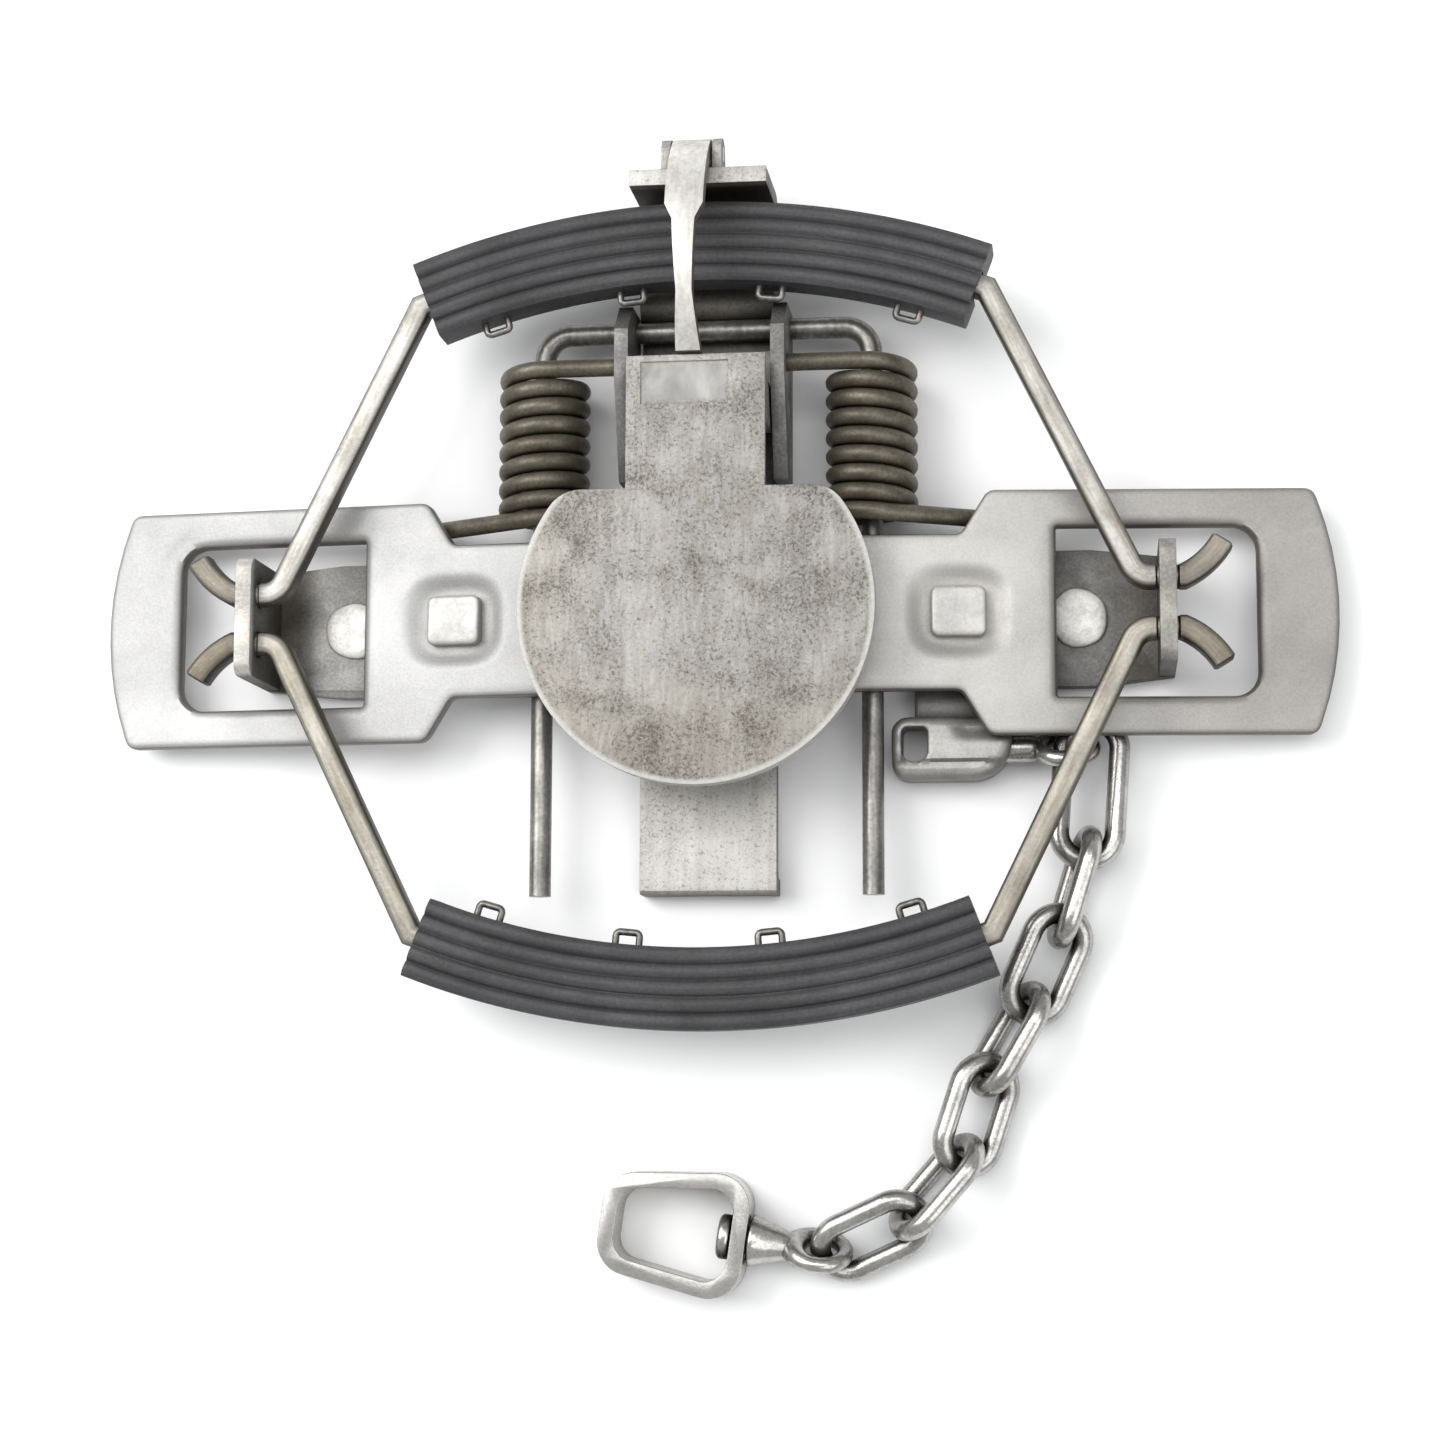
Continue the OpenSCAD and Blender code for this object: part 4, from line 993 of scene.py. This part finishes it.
CLIP_GAP, CLIP_HALF, CLIP_OUT, CLIP_IN, CLIP_WIRE, CLIP_BEND = 0.1, 2.15, 2.15, 1.0, 1.3, 0.8
CLIP_R = PAD_R - PAD_W / 2 - CLIP_GAP
CLIP_TURNS = (-16.5, -5.5, 5.5, 16.5)


def staple():
    """Path of (along the pad's edge, outwards) points, from one end round two bends to the other."""
    path = [(-CLIP_HALF, CLIP_IN), (-CLIP_HALF, 0.0)]
    for first, middle in ((180, CLIP_BEND - CLIP_HALF), (270, CLIP_HALF - CLIP_BEND)):
        for a in (math.radians(first + 15 * i) for i in range(7)):
            path.append((middle + CLIP_BEND * math.cos(a), CLIP_BEND - CLIP_OUT + CLIP_BEND * math.sin(a)))
    return path + [(CLIP_HALF, 0.0), (CLIP_HALF, CLIP_IN)]


for name, s in (("upper", 1), ("lower", -1)):
    form = Form()
    for a in (math.radians(turn) for turn in CLIP_TURNS):
        out, along = Vector((math.sin(a), math.cos(a))), Vector((math.cos(a), -math.sin(a)))
        path = [out * (CLIP_R + v) + along * u for u, v in staple()]
        tube(form, [(p.x, s * (ARC_Y + p.y), JAW_Z) for p in path], CLIP_WIRE / 2, sides=16)
    clips = new_piece(name + "_clip_wires", form, ROD_STEEL, name + "_jaw")
    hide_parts(name + "_pad_clips")


# Swivels: a headed stud that swells into a ring eye

EYE_R, EYE_WIRE, STUD_R, EYE_STEPS = 4.7, 1.5, 2.5, 64
BASE_EYE, BASE_HEADING, BASE_ROLL, BASE_NECK = Vector((65.7, -24.3, 5.6)), 180, 32, 0.0
END_EYE, END_HEADING, END_ROLL, END_NECK = Vector((20.387, -114.715, 5.8)), 172, 30, 0.7
# Studs: distance from the eye's middle, and radius there
BASE_STUD = [(4.6, 0.05), (4.6, 1.4), (5.6, 2.3), (6.6, STUD_R), (12.0, STUD_R),
             (12.0, 2.8), (12.3, 3.1), (13.8, 3.1), (14.2, 2.7), (14.2, 0.05)]
END_STUD = [(4.6, 0.05), (4.6, 1.6), (5.6, 2.5), (6.6, 2.9), (7.8, 3.2), (9.2, 3.7), (10.6, 4.2),
            (11.8, 4.55), (12.3, 4.65), (12.6, 4.45), (12.7, 4.1), (12.7, STUD_R), (16.1, STUD_R),
            (16.1, 3.7), (16.4, 4.05), (17.8, 4.05), (18.3, 3.6), (18.3, 0.05)]


def swivel(node, eye, heading, roll, neck, stud):
    """Stud turned about its axis, and an eye in a plane rolled about it, neck thicker where they meet."""
    axis = Vector((math.cos(math.radians(heading)), math.sin(math.radians(heading)), 0))
    side, up = Vector((-axis.y, axis.x, 0)), Vector((0, 0, 1))
    form = Form()
    swept(form,
          [[eye + axis * t + (side * math.cos(a) + up * math.sin(a)) * r for a in turns(40)]
           for t, r in stud],
          [t for t, _ in stud])
    lean = math.radians(roll)
    flat = side * math.sin(lean) + up * math.cos(lean)
    angles = [2 * math.pi * i / EYE_STEPS for i in range(EYE_STEPS + 1)]
    rings = []
    for a in angles:
        out = axis * math.cos(a) + flat * math.sin(a)
        wire = EYE_WIRE + neck * max(math.cos(a), 0.0) ** 2
        rings.append([eye + out * (EYE_R + wire * math.cos(b)) + axis.cross(flat) * (wire * math.sin(b))
                      for b in turns(20)])
    swept(form, rings, [EYE_R * a for a in angles], caps=False)
    piece = new_piece(node + "_eye", form, CHAIN_STEEL, node, smooth=50.0)
    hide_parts(node)


swivel("base_swivel", BASE_EYE, BASE_HEADING, BASE_ROLL, BASE_NECK, BASE_STUD)
swivel("end_swivel", END_EYE, END_HEADING, END_ROLL, END_NECK, END_STUD)


# Floor, light and camera

FLOOR_SIZE, FLOOR_Z = 6.0, -0.0002
FLOOR_TONES = [(0.0, (0.87, 0.87, 0.865)), (1.0, (0.91, 0.91, 0.905))]
SKY, SKY_STRENGTH = (0.92, 0.94, 0.96, 1), 0.55
LIGHTS = {  # place and size in metres, power in watts
    "key": ((-0.75, 0.35, 0.95), (0.9, 0.7), 11.5),
    "fill": ((0.8, -0.45, 0.9), (0.9, 0.9), 5),
    "top": ((0.0, 0.25, 1.3), (1.4, 0.6), 8),
}
PHOTO_PX, FOCAL_PX, SENSOR = 1440, 2878.5, 36.0
# Camera, solved from the photograph: its turn about X, Y and Z in radians, and its place in the turned frame
VIEW_TURN, VIEW_PLACE = (-0.133, -0.130, -0.003), (1.318, -17.334, 540.4)


def floor_material():
    m = bpy.data.materials.new("pale_floor")
    m.use_nodes = True
    nt = m.node_tree
    bsdf = nt.nodes["Principled BSDF"]
    coord = nt.nodes.new("ShaderNodeTexCoord").outputs["Object"]
    link(nt, ramp(nt, noise(nt, coord, 8.0), FLOOR_TONES), bsdf.inputs["Base Color"])
    bsdf.inputs["Roughness"].default_value = 0.9
    return m


def area_light(name, place, size, power):
    """Rectangular light that faces the origin."""
    d = bpy.data.lights.new(name, "AREA")
    d.shape = "RECTANGLE"
    d.size, d.size_y = size
    d.energy = power
    o = bpy.data.objects.new(name, d)
    o.location = place
    o.rotation_euler = (-Vector(place)).to_track_quat("-Z", "Y").to_euler()
    bpy.context.scene.collection.objects.link(o)


def photo_camera():
    """Camera at the photograph's viewing angle."""
    turn = Matrix.Identity(3)
    for axis, angle in zip("XYZ", VIEW_TURN):
        turn = turn @ Matrix.Rotation(angle, 3, axis)
    d = bpy.data.cameras.new("camera")
    d.sensor_fit = "HORIZONTAL"
    d.sensor_width = SENSOR
    d.lens = FOCAL_PX / PHOTO_PX * SENSOR
    d.clip_start = 0.01
    o = bpy.data.objects.new("camera", d)
    o.matrix_world = (Matrix.Translation(turn.transposed() @ Vector(VIEW_PLACE) * MM)
                      @ turn.transposed().to_4x4())
    bpy.context.scene.collection.objects.link(o)
    return o


bpy.ops.mesh.primitive_plane_add(size=FLOOR_SIZE, location=(0, 0, FLOOR_Z))
floor = bpy.context.object
floor.name = "floor"
floor.data.materials.append(floor_material())

world = bpy.data.worlds.new("studio")
bpy.context.scene.world = world
world.use_nodes = True
world.node_tree.nodes["Background"].inputs["Color"].default_value = SKY
world.node_tree.nodes["Background"].inputs["Strength"].default_value = SKY_STRENGTH
for name, (place, size, power) in LIGHTS.items():
    area_light(name, place, size, power)

bpy.context.scene.camera = photo_camera()
bpy.context.scene.view_settings.view_transform = "Standard"
